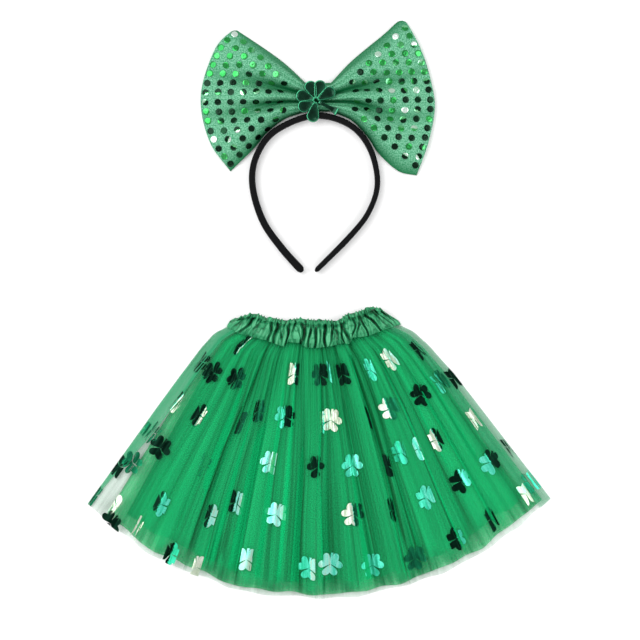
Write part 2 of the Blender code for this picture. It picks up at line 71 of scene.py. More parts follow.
# Where the cloth laps over itself: the angle of the lap at the waist, halfway and at the hem, how dark
# the doubled cloth is, with its denser plies and painted shade, over how many degrees the painted shade
# fades, and the side that is dark: 1 right, -1 left
LAPS = (
    (-27.5, -30.2, -31.0, 0.2, 1.6, 1), (-22.6, -24.6, -25.4, 0.3, 1.0, 1),
    (-19.4, -21.0, -21.8, 0.26, 1.2, -1), (-15.8, -18.9, -19.2, 0.95, 1.3, 1),
    (-15.2, -17.9, -18.4, 0.45, 1.4, -1), (-11.0, -14.6, -14.8, 0.45, 2.0, 1),
    (-9.4, -11.0, -10.8, 0.34, 1.0, -1), (-5.4, -8.0, -8.2, 0.4, 1.2, 1),
    (-3.0, -1.6, -1.4, 0.44, 2.2, -1), (2.5, 1.6, 1.2, 0.66, 3.6, 1),
    (7.4, 8.2, 8.9, 0.46, 2.8, 1), (12.3, 14.1, 14.4, 0.66, 2.9, 1),
    (13.4, 13.9, 13.8, 0.2, 0.6, -1), (20.2, 21.0, 21.3, 0.36, 1.5, 1),
    (23.6, 25.0, 25.6, 0.26, 1.8, -1), (27.6, 29.0, 29.4, 0.18, 1.2, 1),
    (30.4, 32.8, 33.2, 0.12, 1.6, 1),
)
LAP_DEPTH = 1.3
OVERHANG = 0.45
PLEAT_HEIGHT_PER_WIDTH = 0.20
CREST_AT_WAIST = 0.35

# The layers from the outside in: how high the back and the front lie, how high the pleats stand at
# the hem, how far the sides lie inside the outer tulle's at the waist, left hem and right hem, how far
# the cloth thins out inwards from its left, right and lower edges, how much shorter the hem is and how
# ragged, and how the folds are moved round from the outer layer's
LAYERS = (
    {"name": "outer_tulle", "back": 0.6, "front": 11.0, "crest": 3.2,
     "insets": (0.0, 0.0, 0.0), "fades": (0.0, 0.0, 0.0), "hem_inset": 0.0, "ragged": 0.5, "turn": 0.0,
     "finish": "printed"},
    {"name": "middle_tulle", "back": 2.0, "front": 9.9, "crest": 3.0,
     "insets": (5.0, 23.0, 8.0), "fades": (34.0, 34.0, 19.0), "hem_inset": 4.0, "ragged": 1.0,
     "turn": 0.004, "finish": "green"},
    {"name": "inner_tulle", "back": 3.6, "front": 8.6, "crest": 2.6,
     "insets": (10.0, 42.0, 24.0), "fades": (54.0, 48.0, 42.0), "hem_inset": 16.0, "ragged": 1.4,
     "turn": -0.005, "finish": "green"},
)
# How wide the doubled cloth at the outer tulle's sides is: share of the way down, left, right
DOUBLED_EDGES = (
    (0.0, 8.0, 8.0), (0.3, 13.0, 12.0), (0.6, 12.0, 16.0), (0.85, 4.0, 16.0), (1.0, 0.5, 12.0),
)
FRONT_SAMPLES_PER_PLEAT = 40
RADIAL_SAMPLES = 44
BACK_SAMPLES = 320
# The gathers at the waist: one fold's width on the fan, and how deep it dips there.
TULLE_GATHER_DEGREES = 1.3
TULLE_GATHER_DEPTH = 2.2
SIDE_RISE = 9.0
# Net and print are laid out on the cloth in millimetres, this deep and shifted so far for a layer's turn
CLOTH_DEPTH = 255.0
CLOTH_SHIFT_PER_TURN = 4000.0
# The back lies higher under the waistband, inside this radius, and sinks over the next few millimetres
BACK_RAISED = 1.4
BACK_RAISED_RADIUS = 163.0
BACK_SINKS_OVER = 9.0
FOIL_LIFT = 0.25
NET_DEPTH = 0.22


def smoothstep(x):
    x = np.clip(x, 0.0, 1.0)
    return x * x * (3.0 - 2.0 * x)


def column(table, key, value):
    rows = np.array(table, float)
    return np.interp(key, rows[:, 0], rows[:, value])


def walked_along(line):
    """How far along a line each of its points lies."""
    return np.concatenate([[0.0], np.cumsum(np.linalg.norm(np.diff(line, axis=0), axis=1))])


def turned(points, degrees):
    """Points in the plane, turned round the origin."""
    x, y = np.asarray(points, float).T
    cos, sin = math.cos(math.radians(degrees)), math.sin(math.radians(degrees))
    return np.stack([x * cos - y * sin, x * sin + y * cos], axis=1)


def smooth_line(points, shares):
    """Points at these shares of the length of a smooth curve through the given ones."""
    given = np.array(points, float)
    padded = np.vstack([2 * given[0] - given[1], given, 2 * given[-1] - given[-2]])
    fine = []
    for i in range(1, len(padded) - 2):
        before, start, end, after = padded[i - 1 : i + 3]
        for u in np.linspace(0.0, 1.0, 24, endpoint=False):
            pull = (end - before) * u + (2 * before - 5 * start + 4 * end - after) * u * u
            fine.append(start + 0.5 * (pull + (3 * start - before - 3 * end + after) * u**3))
    fine = np.array([*fine, given[-1]])
    walked = walked_along(fine)
    places = np.array(shares) * walked[-1]
    return np.stack([np.interp(places, walked, fine[:, axis]) for axis in (0, 1)], axis=1)


def add_mesh(name, points, faces, material, attributes=None, smooth=True):
    """An object from points in millimetres, with optional point attributes for its material."""
    mesh = bpy.data.meshes.new(name)
    mesh.from_pydata((np.asarray(points, float) * MM).tolist(), [], [tuple(map(int, f)) for f in faces])
    for key, values in (attributes or {}).items():
        values = np.asarray(values, np.float32)
        kind = "FLOAT" if values.ndim == 1 else "FLOAT_VECTOR"
        layer = mesh.attributes.new(key, kind, "POINT")
        layer.data.foreach_set("value" if values.ndim == 1 else "vector", values.ravel())
    if smooth:
        mesh.shade_smooth()
    mesh.materials.append(material)
    made = bpy.data.objects.new(name, mesh)
    bpy.context.scene.collection.objects.link(made)
    return made


def grid_faces(rows, columns, first=0, closed=False):
    i, j = np.meshgrid(np.arange(rows - 1), np.arange(columns if closed else columns - 1), indexing="ij")
    right = (j + 1) % columns
    a, b = first + i * columns + j, first + i * columns + right
    return np.stack([a, b, b + columns, a + columns], axis=-1).reshape(-1, 4)


class Nodes:
    """A short way to write a node tree."""

    def __init__(self, name):
        self.material = bpy.data.materials.new(name)
        self.material.use_nodes = True
        self.tree = self.material.node_tree
        self.shader = self.tree.nodes["Principled BSDF"]

    def add(self, kind, inputs=None, **settings):
        node = self.tree.nodes.new(kind)
        for key, value in settings.items():
            setattr(node, key, value)
        for key, value in (inputs or {}).items():
            self.put(node.inputs[key], value)
        return node

    def put(self, socket, value):
        if isinstance(value, bpy.types.NodeSocket):
            self.tree.links.new(value, socket)
        else:
            socket.default_value = value

    def set(self, **values):
        for key, value in values.items():
            self.put(self.shader.inputs[key.replace("_", " ")], value)

    def math(self, operation, a, b=0.0, c=0.0):
        return self.add("ShaderNodeMath", {0: a, 1: b, 2: c}, operation=operation).outputs[0]

    def swing(self, value, amount):
        """How far a value around a half is from it, times amount."""
        return self.math("MULTIPLY", self.math("SUBTRACT", value, 0.5), amount)

    def attribute(self, name, output="Vector"):
        return self.add("ShaderNodeAttribute", attribute_name=name).outputs[output]

    def scaled(self, vector, scale):
        return self.add("ShaderNodeVectorMath", {0: vector, 1: scale}, operation="MULTIPLY").outputs[0]

    def noise(self, vector, scale=1.0, detail=2.0, roughness=0.5):
        inputs = {"Vector": vector, "Scale": scale, "Detail": detail, "Roughness": roughness}
        return self.add("ShaderNodeTexNoise", inputs).outputs["Fac"]

    def cloth_noise(self, across, down, detail=2.0, roughness=0.5):
        """Noise laid out on the cloth, this fine across it and down it."""
        place = self.scaled(self.attribute("cloth"), (across, down, 1.0))
        return self.noise(place, detail=detail, roughness=roughness)

    def ramp(self, value, *stops):
        node = self.add("ShaderNodeValToRGB", {"Fac": value})
        while len(node.color_ramp.elements) < len(stops):
            node.color_ramp.elements.new(0.5)
        for element, (place, colour) in zip(node.color_ramp.elements, stops):
            element.position = place
            element.color = (*colour, 1.0)
        return node.outputs["Color"]

    def between(self, value, low, high, new_low=0.0, new_high=1.0):
        inputs = {"Value": value, "From Min": low, "From Max": high, "To Min": new_low, "To Max": new_high}
        return self.add("ShaderNodeMapRange", inputs).outputs["Result"]

    def mix(self, factor, a, b):
        node = self.add("ShaderNodeMix", data_type="RGBA")
        self.put(node.inputs["Factor"], factor)
        self.put(node.inputs["A"], a)
        self.put(node.inputs["B"], b)
        return node.outputs["Result"]

    def bump(self, height, distance, strength=1.0):
        inputs = {"Height": height, "Distance": distance, "Strength": strength}
        return self.add("ShaderNodeBump", inputs).outputs["Normal"]


def tulle_material(name, pale, deep, alpha_low, alpha_high):
    """Net cloth: see-through, darker and denser in the valleys and laps, partly where the gathered plies
    bunch up and partly as painted shade.
    """
    n = Nodes(name)
    # How light the cloth is: darker in the valleys and laps for denser plies and for painted shade
    ridge = n.attribute("ridge", "Fac")
    ply = n.attribute("ply", "Fac")
    fine = n.cloth_noise(0.55, 0.0022, detail=1.5, roughness=0.6)
    broad = n.cloth_noise(0.11, 0.0016, detail=1.0)
    mesh = n.cloth_noise(0.75, 1.1, detail=1.0, roughness=0.7)
    streaks = n.math("ADD", n.math("MULTIPLY", fine, 0.55), n.math("MULTIPLY", broad, 0.45))
    spread = n.swing(streaks, 1.5)
    wide = n.cloth_noise(0.06, 0.0014, detail=0.0)
    narrow = n.cloth_noise(0.21, 0.0022, detail=0.0)
    plies = n.between(wide, 0.490, 0.510, -0.13, 0.13)
    plies = n.math("ADD", plies, n.between(narrow, 0.492, 0.508, -0.10, 0.10))
    away = n.math("ABSOLUTE", n.math("SUBTRACT", narrow, 0.512))
    plies = n.math("ADD", plies, n.between(away, 0.0, 0.012, 0.28, 0.0))
    light = n.math("ADD", n.math("ADD", ridge, plies), n.math("MULTIPLY", spread, 0.8))
    light = n.math("ADD", light, n.swing(mesh, 0.5))
    colour = n.ramp(light, (0.0, deep), (1.0, pale))
    alpha = n.between(light, 0.0, 1.0, alpha_high, alpha_low)
    alpha = n.math("MULTIPLY", alpha, n.between(mesh, 0.3, 0.7, 1.0 - NET_DEPTH, 1.0 + NET_DEPTH))
    alpha = n.math("MULTIPLY", alpha, n.attribute("veil", "Fac"))
    alpha = n.math("MAXIMUM", alpha, n.math("MULTIPLY", ply, n.between(streaks, 0.3, 0.7, 0.85, 0.55)))
    colour = n.mix(n.math("MULTIPLY", ply, 0.8), colour, (0.03, 0.36, 0.16, 1.0))
    n.set(Base_Color=colour, Alpha=alpha, Roughness=0.75)
    n.set(Normal=n.bump(fine, 0.0004, 0.3))
    n.set(Specular_IOR_Level=0.03)
    return n.material


def foil_material():
    """Foil print: a mirror-like green with a painted reflection, from dark through mint to silver, that
    differs from motif to motif.
    """
    n = Nodes("foil_print")
    # Each motif's painted reflection, from dark through mint to silver, picks its colour below
    painted_reflection = n.attribute("painted_reflection", "Fac")
    net = n.cloth_noise(1.4, 1.4, detail=2.0, roughness=0.7)
    creases = n.cloth_noise(0.35, 0.05, detail=3.0)
    shifted = n.math("ADD", painted_reflection, n.swing(creases, 0.40))
    shifted = n.math("ADD", shifted, n.swing(net, 0.34))
    colour = n.ramp(
        shifted, (0.12, (0.0006, 0.012, 0.006)), (0.30, (0.002, 0.060, 0.028)),
        (0.42, (0.006, 0.17, 0.07)), (0.56, (0.02, 0.46, 0.25)), (0.70, (0.09, 0.70, 0.50)),
        (0.81, (0.34, 0.84, 0.72)), (0.91, (0.44, 0.54, 0.36)), (1.0, (0.74, 0.82, 0.72)),
    )
    slits = n.cloth_noise(0.42, 0.02, detail=2.0, roughness=0.6)
    hidden = n.math("MULTIPLY_ADD", n.attribute("folded", "Fac"), 0.55, 0.20)
    alpha = n.between(n.math("SUBTRACT", slits, hidden), -0.02, 0.02)
    n.set(Base_Color=colour, Metallic=0.85, Roughness=n.between(net, 0.3, 0.7, 0.25, 0.42), Alpha=alpha)
    n.set(Normal=n.bump(net, 0.0002, 0.5))
    n.set(Specular_IOR_Level=0.15)
    return n.material


def satin_material():
    n = Nodes("satin")
    weave = n.cloth_noise(3.0, 0.5, detail=2.0)
    shade = n.cloth_noise(0.09, 0.09, detail=3.0)
    # The depth attribute is painted shade and highlight: dark in the hollows, light on the ribs and lips
    depth = n.attribute("depth", "Fac")
    crumple = n.cloth_noise(0.15, 0.07, detail=1.0, roughness=0.5)
    # Painted shade: thin dark crease lines where the crumple noise crosses its middle, a little lighter
    # beside them
    crease = n.between(n.math("ABSOLUTE", n.math("SUBTRACT", crumple, 0.5)), 0.0, 0.04, -0.22, 0.05)
    light = n.math("ADD", depth, n.swing(shade, 0.45))
    light = n.math("ADD", light, crease)
    colour = n.ramp(
        light, (0.0, (0.0003, 0.022, 0.006)), (0.34, (0.004, 0.10, 0.035)), (0.62, (0.020, 0.25, 0.10)),
        (0.95, (0.11, 0.50, 0.25)),
    )
    n.set(Base_Color=colour, Roughness=n.between(weave, 0.3, 0.7, 0.30, 0.42))
    n.set(Normal=n.bump(weave, 0.0002, 0.4))
    n.set(Specular_IOR_Level=0.28)
    return n.material


def knit_material():
    n = Nodes("bow_knit")
    place = n.scaled(n.attribute("cloth"), (1.1, 0.8, 1.0))
    loops = n.add("ShaderNodeTexVoronoi", {"Vector": place, "Scale": 1.0})
    fuzz = n.cloth_noise(0.75, 0.75, detail=2.0, roughness=0.8)
    # The depth attribute mixes in the dark green as painted shade down in the creases
    depth = n.attribute("depth", "Fac")
    light = n.ramp(fuzz, (0.40, (0.026, 0.23, 0.10)), (0.61, (0.22, 0.56, 0.36)))
    colour = n.mix(depth, (0.0005, 0.13, 0.04, 1.0), light)
    n.set(Base_Color=colour, Roughness=0.7, Normal=n.bump(loops.outputs["Distance"], 0.0004, 0.6))
    n.set(Specular_IOR_Level=0.2)
    return n.material


def sequin_material():
    n = Nodes("sequins")
    # Each half of a sequin has a painted reflection, from dark through green to a white flash
    painted_reflection = n.attribute("painted_reflection", "Fac")
    scratches = n.cloth_noise(0.9, 0.9, detail=3.0)
    shifted = n.math("ADD", painted_reflection, n.swing(scratches, 0.18))
    colour = n.ramp(
        shifted, (0.20, (0.0008, 0.018, 0.007)), (0.40, (0.003, 0.09, 0.025)), (0.56, (0.03, 0.38, 0.075)),
        (0.75, (0.22, 0.66, 0.34)), (0.92, (0.75, 0.90, 0.82)),
    )
    n.set(Base_Color=colour, Metallic=0.8, Roughness=n.between(scratches, 0.3, 0.7, 0.16, 0.28))
    return n.material


def ribbon_material():
    n = Nodes("hoop_ribbon")
    ribs = n.cloth_noise(0.6, 4.0, detail=2.0)
    lint = n.cloth_noise(1.5, 1.5, detail=3.0)
    colour = n.ramp(lint, (0.35, (0.0015, 0.0015, 0.002)), (0.75, (0.006, 0.0065, 0.007)))
    n.set(Base_Color=colour, Roughness=n.between(lint, 0.3, 0.7, 0.55, 0.75))
    n.set(Normal=n.bump(ribs, 0.00025, 0.5))
    n.set(Specular_IOR_Level=0.08)
    return n.material


def moulded_material():
    n = Nodes("moulded_shamrock")
    place = n.add("ShaderNodeTexCoord").outputs["Object"]
    film = n.noise(place, scale=120.0, detail=3.0)
    # The rims get a painted highlight: a brighter green mixed over the dark film
    rim = n.attribute("rim", "Fac")
    colour = n.mix(rim, n.ramp(film, (0.3, (0.0004, 0.012, 0.006)), (0.7, (0.0015, 0.034, 0.015))),
                   (0.04, 0.30, 0.15, 1.0))
    n.set(Base_Color=colour, Metallic=0.7, Roughness=n.between(film, 0.3, 0.7, 0.20, 0.30))
    n.set(Specular_IOR_Level=0.15)
    n.set(Coat_Weight=0.12, Coat_Roughness=0.1)
    return n.material


def fan_point(angle, radius, z):
    turn = np.radians(angle)
    return np.stack([APEX_X + radius * np.sin(turn), APEX_Y - radius * np.cos(turn), z], axis=-1)


def polar(x, y):
    """The angle and radius on the fan of a place in millimetres."""
    return math.degrees(math.atan2(x - APEX_X, APEX_Y - y)), math.hypot(x - APEX_X, APEX_Y - y)


def hem_radius(angle, layer):
    low = np.radians(angle)
    ripple = 1.6 * np.sin(low * 41.0) * np.cos(low * 17.0 + 1.0)
    seed = 1900.0 * layer["turn"]
    ripple += layer["ragged"] * (np.sin(low * 29.0 + seed) + 0.5 * np.sin(low * 83.0 + 2.0 * seed))
    aside = np.abs(angle - HEM_LOWEST_ANGLE)
    inset = layer["hem_inset"] * (1.0 + 0.3 * smoothstep((aside - 8.0) / 14.0))
    return HEM_RADIUS - HEM_RISE_PER_SQUARE_DEGREE * aside**2 + ripple - inset


def gathers(angle, v):
    """How deep the gathers at the waist dip the cloth at these angles. They are the same on every layer."""
    wave = 2 * math.pi * angle / TULLE_GATHER_DEGREES + 1.4 * np.sin(0.7 * angle + 1.0)
    uneven = 0.8 + 0.2 * np.sin(0.9 * angle + 2.0 * v)
    return TULLE_GATHER_DEPTH * (1.0 - smoothstep(v / 0.9)) * uneven * (0.5 - 0.5 * np.cos(wave))


class Tulle:
    """A layer of tulle. u runs across its front in pleats, and v from the waist, 0, to the hem, 1."""

    def __init__(self, layer):
        self.layer = layer
        self.table = np.array(PLEATS, float)
        turn = layer["turn"]
        self.table[1:, 0:2] += turn * (1.0 - self.table[1:, 5:6])
        self.table[:, 3] *= 1.0 + 30.0 * abs(turn)
        self.waist = np.append(self.table[:, 0], 1.0)
        self.hem = np.append(self.table[:, 1], 1.0)
        self.count = len(self.table)

    def sides(self, radius):
        out = np.clip((radius - TULLE_TOP_RADIUS) / (HEM_RADIUS - TULLE_TOP_RADIUS), 0.0, 1.1)
        waist, left_hem, right_hem = self.layer["insets"]
        per_degree = math.radians(1.0) * radius
        left = column(SIDE_FOLDS, radius, 1) + (waist + (left_hem - waist) * out) / per_degree
        right = column(SIDE_FOLDS, radius, 2) - (waist + (right_hem - waist) * out) / per_degree
        return left, right, out

    def valleys(self, out, v):
        blend = smoothstep(1.2 * out)
        places = self.waist + (self.hem - self.waist) * blend
        wander = 0.0035 * np.sin(5.0 * v + np.arange(len(places)) * 2.3) * np.sin(math.pi * min(v, 1.0))
        wander[[0, -1]] = 0.0
        return places + wander

    def across(self, radius, v):
        """The share of the width and the height of the pleated front along one ring."""
        left, right, out = self.sides(radius)
        valleys = self.valleys(out, v)
        width = np.diff(valleys)
        q = np.arange(FRONT_SAMPLES_PER_PLEAT) / FRONT_SAMPLES_PER_PLEAT
        fold = np.arange(self.count)[:, None]
        height, lean, crease, valley, light = (self.table[:, k][:, None] for k in (2, 3, 4, 5, 6))
        hump = np.sin(math.pi * q) ** 2
        panel = np.sin(math.pi * q) ** 0.6
        swell = 0.85 + 0.15 * np.sin(4.0 * v + fold * 1.7)
        phase = 0.31 * fold + self.layer["turn"] * 90.0
        wave = 2 * math.pi * (2.0 * q + phase) + 0.8 * math.sin(4.0 * v + 2.0)
        streak = np.sin(wave + 0.8 * np.sin(wave)) + 0.5 * np.sin(2.6 * wave + 0.6)
        fade = 0.5 + 0.5 * np.sin(2.5 * v + 1.9 * fold)
        fine = crease * panel * streak * (0.4 + 0.6 * fade)
        z = height * swell * (0.8 * hump + 0.2 * panel) + 0.06 * fine
        sway = 0.75 + 0.25 * np.sin(3 * v + fold)
        x = valleys[:-1, None] + width[:, None] * (q + OVERHANG * lean * hump * sway)
        span = (right - left) * math.radians(1.0) * radius
        limit = self.layer["crest"] * (CREST_AT_WAIST + (1 - CREST_AT_WAIST) * smoothstep(1.5 * out))
        crest = np.minimum(width * span * PLEAT_HEIGHT_PER_WIDTH, limit)[:, None]
        # How light the cloth is: each pleat's own lightness, painted lighter and darker along its small
        # creases, and painted shade in the valley at its left
        level = 0.68 + 0.35 * light + 0.11 * fine - 0.06 * valley * np.exp(-((q / 0.15) ** 2))
        share = np.append(x.ravel(), 1.0)
        rise = np.append((z * crest).ravel(), 0.0)
        ridge = np.append(level.ravel(), 0.6)
        return left, right, share, rise, span, ridge

    def laps(self, angle, v):
        """How dark the laps make the cloth at these angles, from 0 to about 1: the doubled plies are
        denser, and painted shade fades away from each lap on its dark side.
        """
        dark = np.zeros_like(angle)
        for k, (waist, halfway, hem, depth, width, side) in enumerate(LAPS):
            line = np.interp(v, (0.0, 0.5, 1.0), (waist, halfway, hem)) + 0.15 * math.sin(7.0 * v + 2.3 * k)
            off = side * (angle - line - 60.0 * self.layer["turn"])
            deep = depth * (0.85 + 0.15 * math.sin(5.0 * v + 1.7 * k))
            dark = dark + deep * smoothstep(off / 0.5 + 0.5) * np.exp(-np.maximum(off, 0.0) / width)
        return dark

    def veil(self, share, span, v):
        """How dense the cloth still is towards its edges, from 0 to 1."""
        left, right, low = (max(f, 0.01) for f in self.layer["fades"])
        opening = min(1.0, 0.25 + 1.2 * v)
        length = HEM_RADIUS - TULLE_TOP_RADIUS
        sides = smoothstep(share * span / (left * opening))
        sides = sides * smoothstep((1.0 - share) * span / (right * opening))
        aside = smoothstep((np.abs(2.0 * share - 1.0) - 0.25) / 0.45)
        low = low * (0.8 + 0.7 * aside)
        uneven = 1.0 + 0.35 * np.sin(share * 57.0 + self.layer["turn"] * 900.0)
        uneven = uneven + 0.15 * np.sin(share * 131.0)
        return sides * smoothstep(((1.0 - v) * length + 0.05 * low) / (low * uneven))

    def radius_at(self, v):
        middle = float(hem_radius(np.array(0.0), self.layer))
        return TULLE_TOP_RADIUS + (middle - TULLE_TOP_RADIUS) * v

    def radii_at(self, angle, v):
        return TULLE_TOP_RADIUS + (hem_radius(angle, self.layer) - TULLE_TOP_RADIUS) * v

    def back_height(self, radius):
        sunk = smoothstep((radius - BACK_RAISED_RADIUS) / BACK_SINKS_OVER)
        return self.layer["back"] + BACK_RAISED * (1.0 - sunk)

    def ring(self, v):
        radius = self.radius_at(v)
        left, right, share, rise, span, ridge = self.across(radius, v)
        angle = left + (right - left) * share
        edge = np.minimum(share, 1.0 - share) * span
        ply = np.zeros(len(share))
        if self.layer["finish"] == "printed":
            widths = [column(DOUBLED_EDGES, v, k) for k in (1, 2)]
            ply = 1.0 - smoothstep((share * span - widths[0]) / 2.5)
            ply += 0.75 * (1.0 - smoothstep(((1.0 - share) * span - widths[1]) / 5.0))
        lift = smoothstep(edge / (SIDE_RISE + 20.0 * v))
        low = self.back_height(radius) + 0.5
        crown = self.layer["front"] - 2.2 * (1.0 - smoothstep(1.5 * v))
        # The laps darken the cloth: denser doubled plies and painted shade beside each lap
        dark = self.laps(angle, v)
        thin = smoothstep((np.abs(angle - HEM_LOWEST_ANGLE) - 17.0) / 16.0) * smoothstep((v - 0.3) / 0.6)
        ridge = ridge - 0.85 * dark + 0.20 * thin
        z = low + (crown - low + rise - LAP_DEPTH * dark * (0.4 + 0.6 * v) - gathers(angle, v)) * lift
        radii = self.radii_at(angle, v)
        veil = self.veil(share, span, v) * (1.0 - 0.28 * thin)
        info = (angle, radii, np.clip(ridge, 0.0, 1.0), ply, veil)
        return fan_point(angle, radii, z), info

    def back_ring(self, v, count):
        """The back of one ring. Its gathers rise where those of the front don't dip."""
        radius = self.radius_at(v)
        left, right, _ = self.sides(radius)
        angle = np.linspace(right, left, count)
        ripple = 0.25 * np.sin(angle * 9.0 + self.layer["turn"] * 200.0)
        raised = 0.8 * gathers(angle + 0.5 * TULLE_GATHER_DEGREES, v)
        z = self.back_height(radius) + 0.2 + ripple + raised
        return fan_point(angle, self.radii_at(angle, v), z)


def make_tulle(layer, material):
    tulle = Tulle(layer)
    steps = np.linspace(0.0, 1.0, RADIAL_SAMPLES) ** 1.05
    fronts, infos = zip(*[tulle.ring(v) for v in steps])
    backs = np.array([tulle.back_ring(v, BACK_SAMPLES) for v in steps])
    plain = np.full((len(steps), BACK_SAMPLES), 0.5)
    # How light the cloth is, with painted shade in the valleys and laps, how doubled and how dense it is
    ridge, ply, veil = (
        np.concatenate([np.array([info[k] for info in infos]), of_back * plain], axis=1)
        for k, of_back in ((2, 1.0), (3, 0.0), (4, 2.0))
    )
    rings = np.concatenate([np.array(fronts), backs], axis=1)
    hem_walk = walked_along(rings[-1])
    cloth = np.zeros(rings.shape)
    cloth[..., 0] = hem_walk[None, :] + layer["turn"] * CLOTH_SHIFT_PER_TURN
    cloth[..., 1] = (steps * CLOTH_DEPTH)[:, None]
    rows, columns = rings.shape[:2]
    made = add_mesh(layer["name"] + "_cloth", rings.reshape(-1, 3), grid_faces(rows, columns, closed=True),
                    material, {"cloth": cloth.reshape(-1, 3), "ridge": ridge.ravel(), "ply": ply.ravel(),
                               "veil": veil.ravel()})
    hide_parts(layer["name"])
    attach(made, "root")
    return tulle


# Each shamrock of the print that shows: its place, the way its stem points in degrees, its painted
# reflection at the left and at the right from 0, dark, over 0.6, mint, to 1, silver, which part of its
# width lies on top, from -1 at its left to 1 at its right, and how much of that small folds hide
FOIL = (
    (-76.5, -34.5, 215, 0.1, 0.93, -0.3, 0.2, 0.35), (-119.0, -51.5, 225, 0.08, 0.12, -0.2, 1.0, 0.55),
    (-106.5, -64.0, 215, 0.12, 0.08, -0.8, 0.9, 0.35), (-81.5, -69.0, 215, 0.1, 0.3, -0.9, 0.75, 0.4),
    (-24.5, -63.5, 85, 0.94, 0.1, -0.55, 0.4, 0.15), (1.0, -65.5, 90, 0.3, 0.08, -0.8, 0.7, 0.35),
    (10.5, -62.0, 85, 0.65, 0.65, -0.15, 0.1, 0.3), (23.5, -64.0, 100, 0.08, 0.14, -0.65, 0.6, 0.25),
    (51.0, -60.0, 80, 0.62, 0.66, -0.5, 0.4, 0.2), (71.0, -50.5, 75, 0.96, 0.88, -0.6, 0.55, 0.2),
    (99.5, -40.5, 70, 0.12, 0.05, -0.3, 0.3, 0.45), (-142.0, -92.0, 225, 0.08, 0.92, -0.2, 0.5, 0.6),
    (-119.0, -105.0, 215, 0.08, 0.93, -0.5, 0.5, 0.15), (-60.5, -101.0, 100, 0.08, 0.3, -0.55, 0.55, 0.45),
    (-78.0, -113.0, 215, 0.1, 0.25, -0.25, 0.3, 0.5), (-33.5, -108.0, 95, 0.64, 0.08, -0.9, 0.75, 0.12),
    (3.0, -113.0, 90, 0.88, 0.6, -0.3, 0.25, 0.4), (12.0, -110.5, 85, 0.9, 0.93, -0.9, 0.95, 0.38),
    (101.0, -84.5, 85, 0.06, 0.12, -1.0, 1.0, 0.12), (121.0, -71.8, 70, 0.6, 0.35, -0.5, 0.6, 0.45),
    (134.8, -69.0, 65, 0.05, 0.05, -0.4, 0.5, 0.15), (71.0, -99.5, 85, 1.02, 0.4, -0.9, 0.75, 0.12),
    (49.7, -108.0, 85, 0.05, 0.1, -0.12, 0.15, 0.2), (154.5, -108.5, 65, 0.93, 0.95, -0.35, 0.3, 0.25),
    (116.0, -129.0, 80, 0.95, 0.12, -0.5, 0.45, 0.15), (-167.0, -122.0, 220, 0.38, 0.38, -0.9, 0.9, 0.55),
    (-157.5, -137.0, 60, 0.08, 0.1, -1.0, 1.0, 0.12), (-115.0, -154.0, 110, 0.36, 0.4, -0.5, 0.7, 0.68),
    (-48.5, -153.5, 80, 0.76, 0.84, -0.9, 0.4, 0.18), (-199.0, -156.0, 230, 0.06, 0.1, -0.4, 0.4, 0.35),
    (-186.0, -152.0, 210, 0.38, 0.38, -0.9, 0.9, 0.25), (-1.0, -157.5, 95, 0.06, 0.14, -0.9, 1.0, 0.25),
    (33.5, -156.0, 88, 0.62, 0.72, -1.0, 1.0, 0.08), (68.5, -155.0, 85, 0.06, 0.12, -0.25, 0.25, 0.3),
    (81.8, -142.5, 80, 0.56, 0.58, -0.7, 0.4, 0.35), (99.0, -138.0, 80, 0.7, 0.78, -0.35, 0.35, 0.12),
    (170.0, -151.5, 70, 0.68, 0.1, -0.9, 0.9, 0.15), (190.5, -137.5, 60, 0.08, 0.06, -0.3, 0.4, 0.55),
    (-156.3, -192.0, 225, 0.1, 0.66, -0.5, 0.6, 0.35), (-109.0, -206.0, 100, 0.1, 0.82, -0.35, 0.5, 0.2),
    (-82.3, -192.0, 80, 0.08, 0.78, -0.6, 0.6, 0.3), (-43.0, -204.5, 70, 0.74, 0.8, -1.0, 0.8, 0.12),
    (34.0, -203.0, 80, 0.98, 0.26, -1.0, 0.9, 0.12), (73.0, -200.5, 80, 0.1, 0.15, -0.3, 0.3, 0.5),
    (107.0, -187.5, 75, 0.62, 0.7, -0.7, 0.6, 0.2), (140.5, -170.5, 75, 0.08, 0.68, -0.9, 0.8, 0.15),
    (212.0, -172.5, 60, 0.45, 0.62, -0.7, 0.9, 0.5), (206.5, -184.0, 60, 0.9, 0.88, -0.4, 0.3, 0.5),
    (-207.0, -212.0, 50, 0.06, 0.08, -1.0, 1.0, 0.12), (-147.0, -243.5, 100, 0.06, 0.56, -0.6, 0.5, 0.12),
    (-72.0, -249.5, 85, 0.8, 0.84, -0.5, 0.45, 0.35), (-10.5, -257.0, 85, 0.6, 0.84, -0.9, 0.5, 0.12),
    (11.0, -254.0, 85, 0.8, 0.72, -1.0, 1.0, 0.12), (53.0, -254.0, 88, 0.6, 0.62, -1.0, 1.0, 0.08),
    (96.0, -247.5, 85, 0.34, 0.38, -0.9, 0.9, 0.35), (137.5, -228.5, 80, 0.06, 0.62, -0.7, 0.8, 0.12),
    (171.0, -209.0, 75, 0.1, 0.08, -0.3, 0.5, 0.12), (-224.0, -184.5, 225, 0.2, 0.32, -0.35, 0.3, 0.3),
    (-201.0, -196.0, 225, 0.93, 0.95, -0.4, 0.3, 0.5), (-180.0, -216.5, 225, 0.95, 0.93, -0.4, 0.4, 0.6),
    (-121.0, -255.5, 90, 0.95, 0.93, -0.35, 0.3, 0.3),
)
MOTIF_SIZE = 11.8
MOTIF_RINGS = 5
MOTIF_STEPS = 26
MOTIF_HALF_WIDTH = 13.0


def leaf_outline(steps):
    """A heart, its point at the origin and its lobes along +y, about one unit long."""
    t = np.linspace(0.0, 2 * math.pi, steps, endpoint=False)
    x = 0.66 * np.sign(np.sin(t)) * np.abs(np.sin(t)) ** 2.2
    y = 0.8125 * np.cos(t) - 0.3125 * np.cos(2 * t) - 0.125 * np.cos(3 * t) - 0.0625 * np.cos(4 * t)
    y = 0.52 * y
    return np.stack([x, y - y.min()], axis=1)


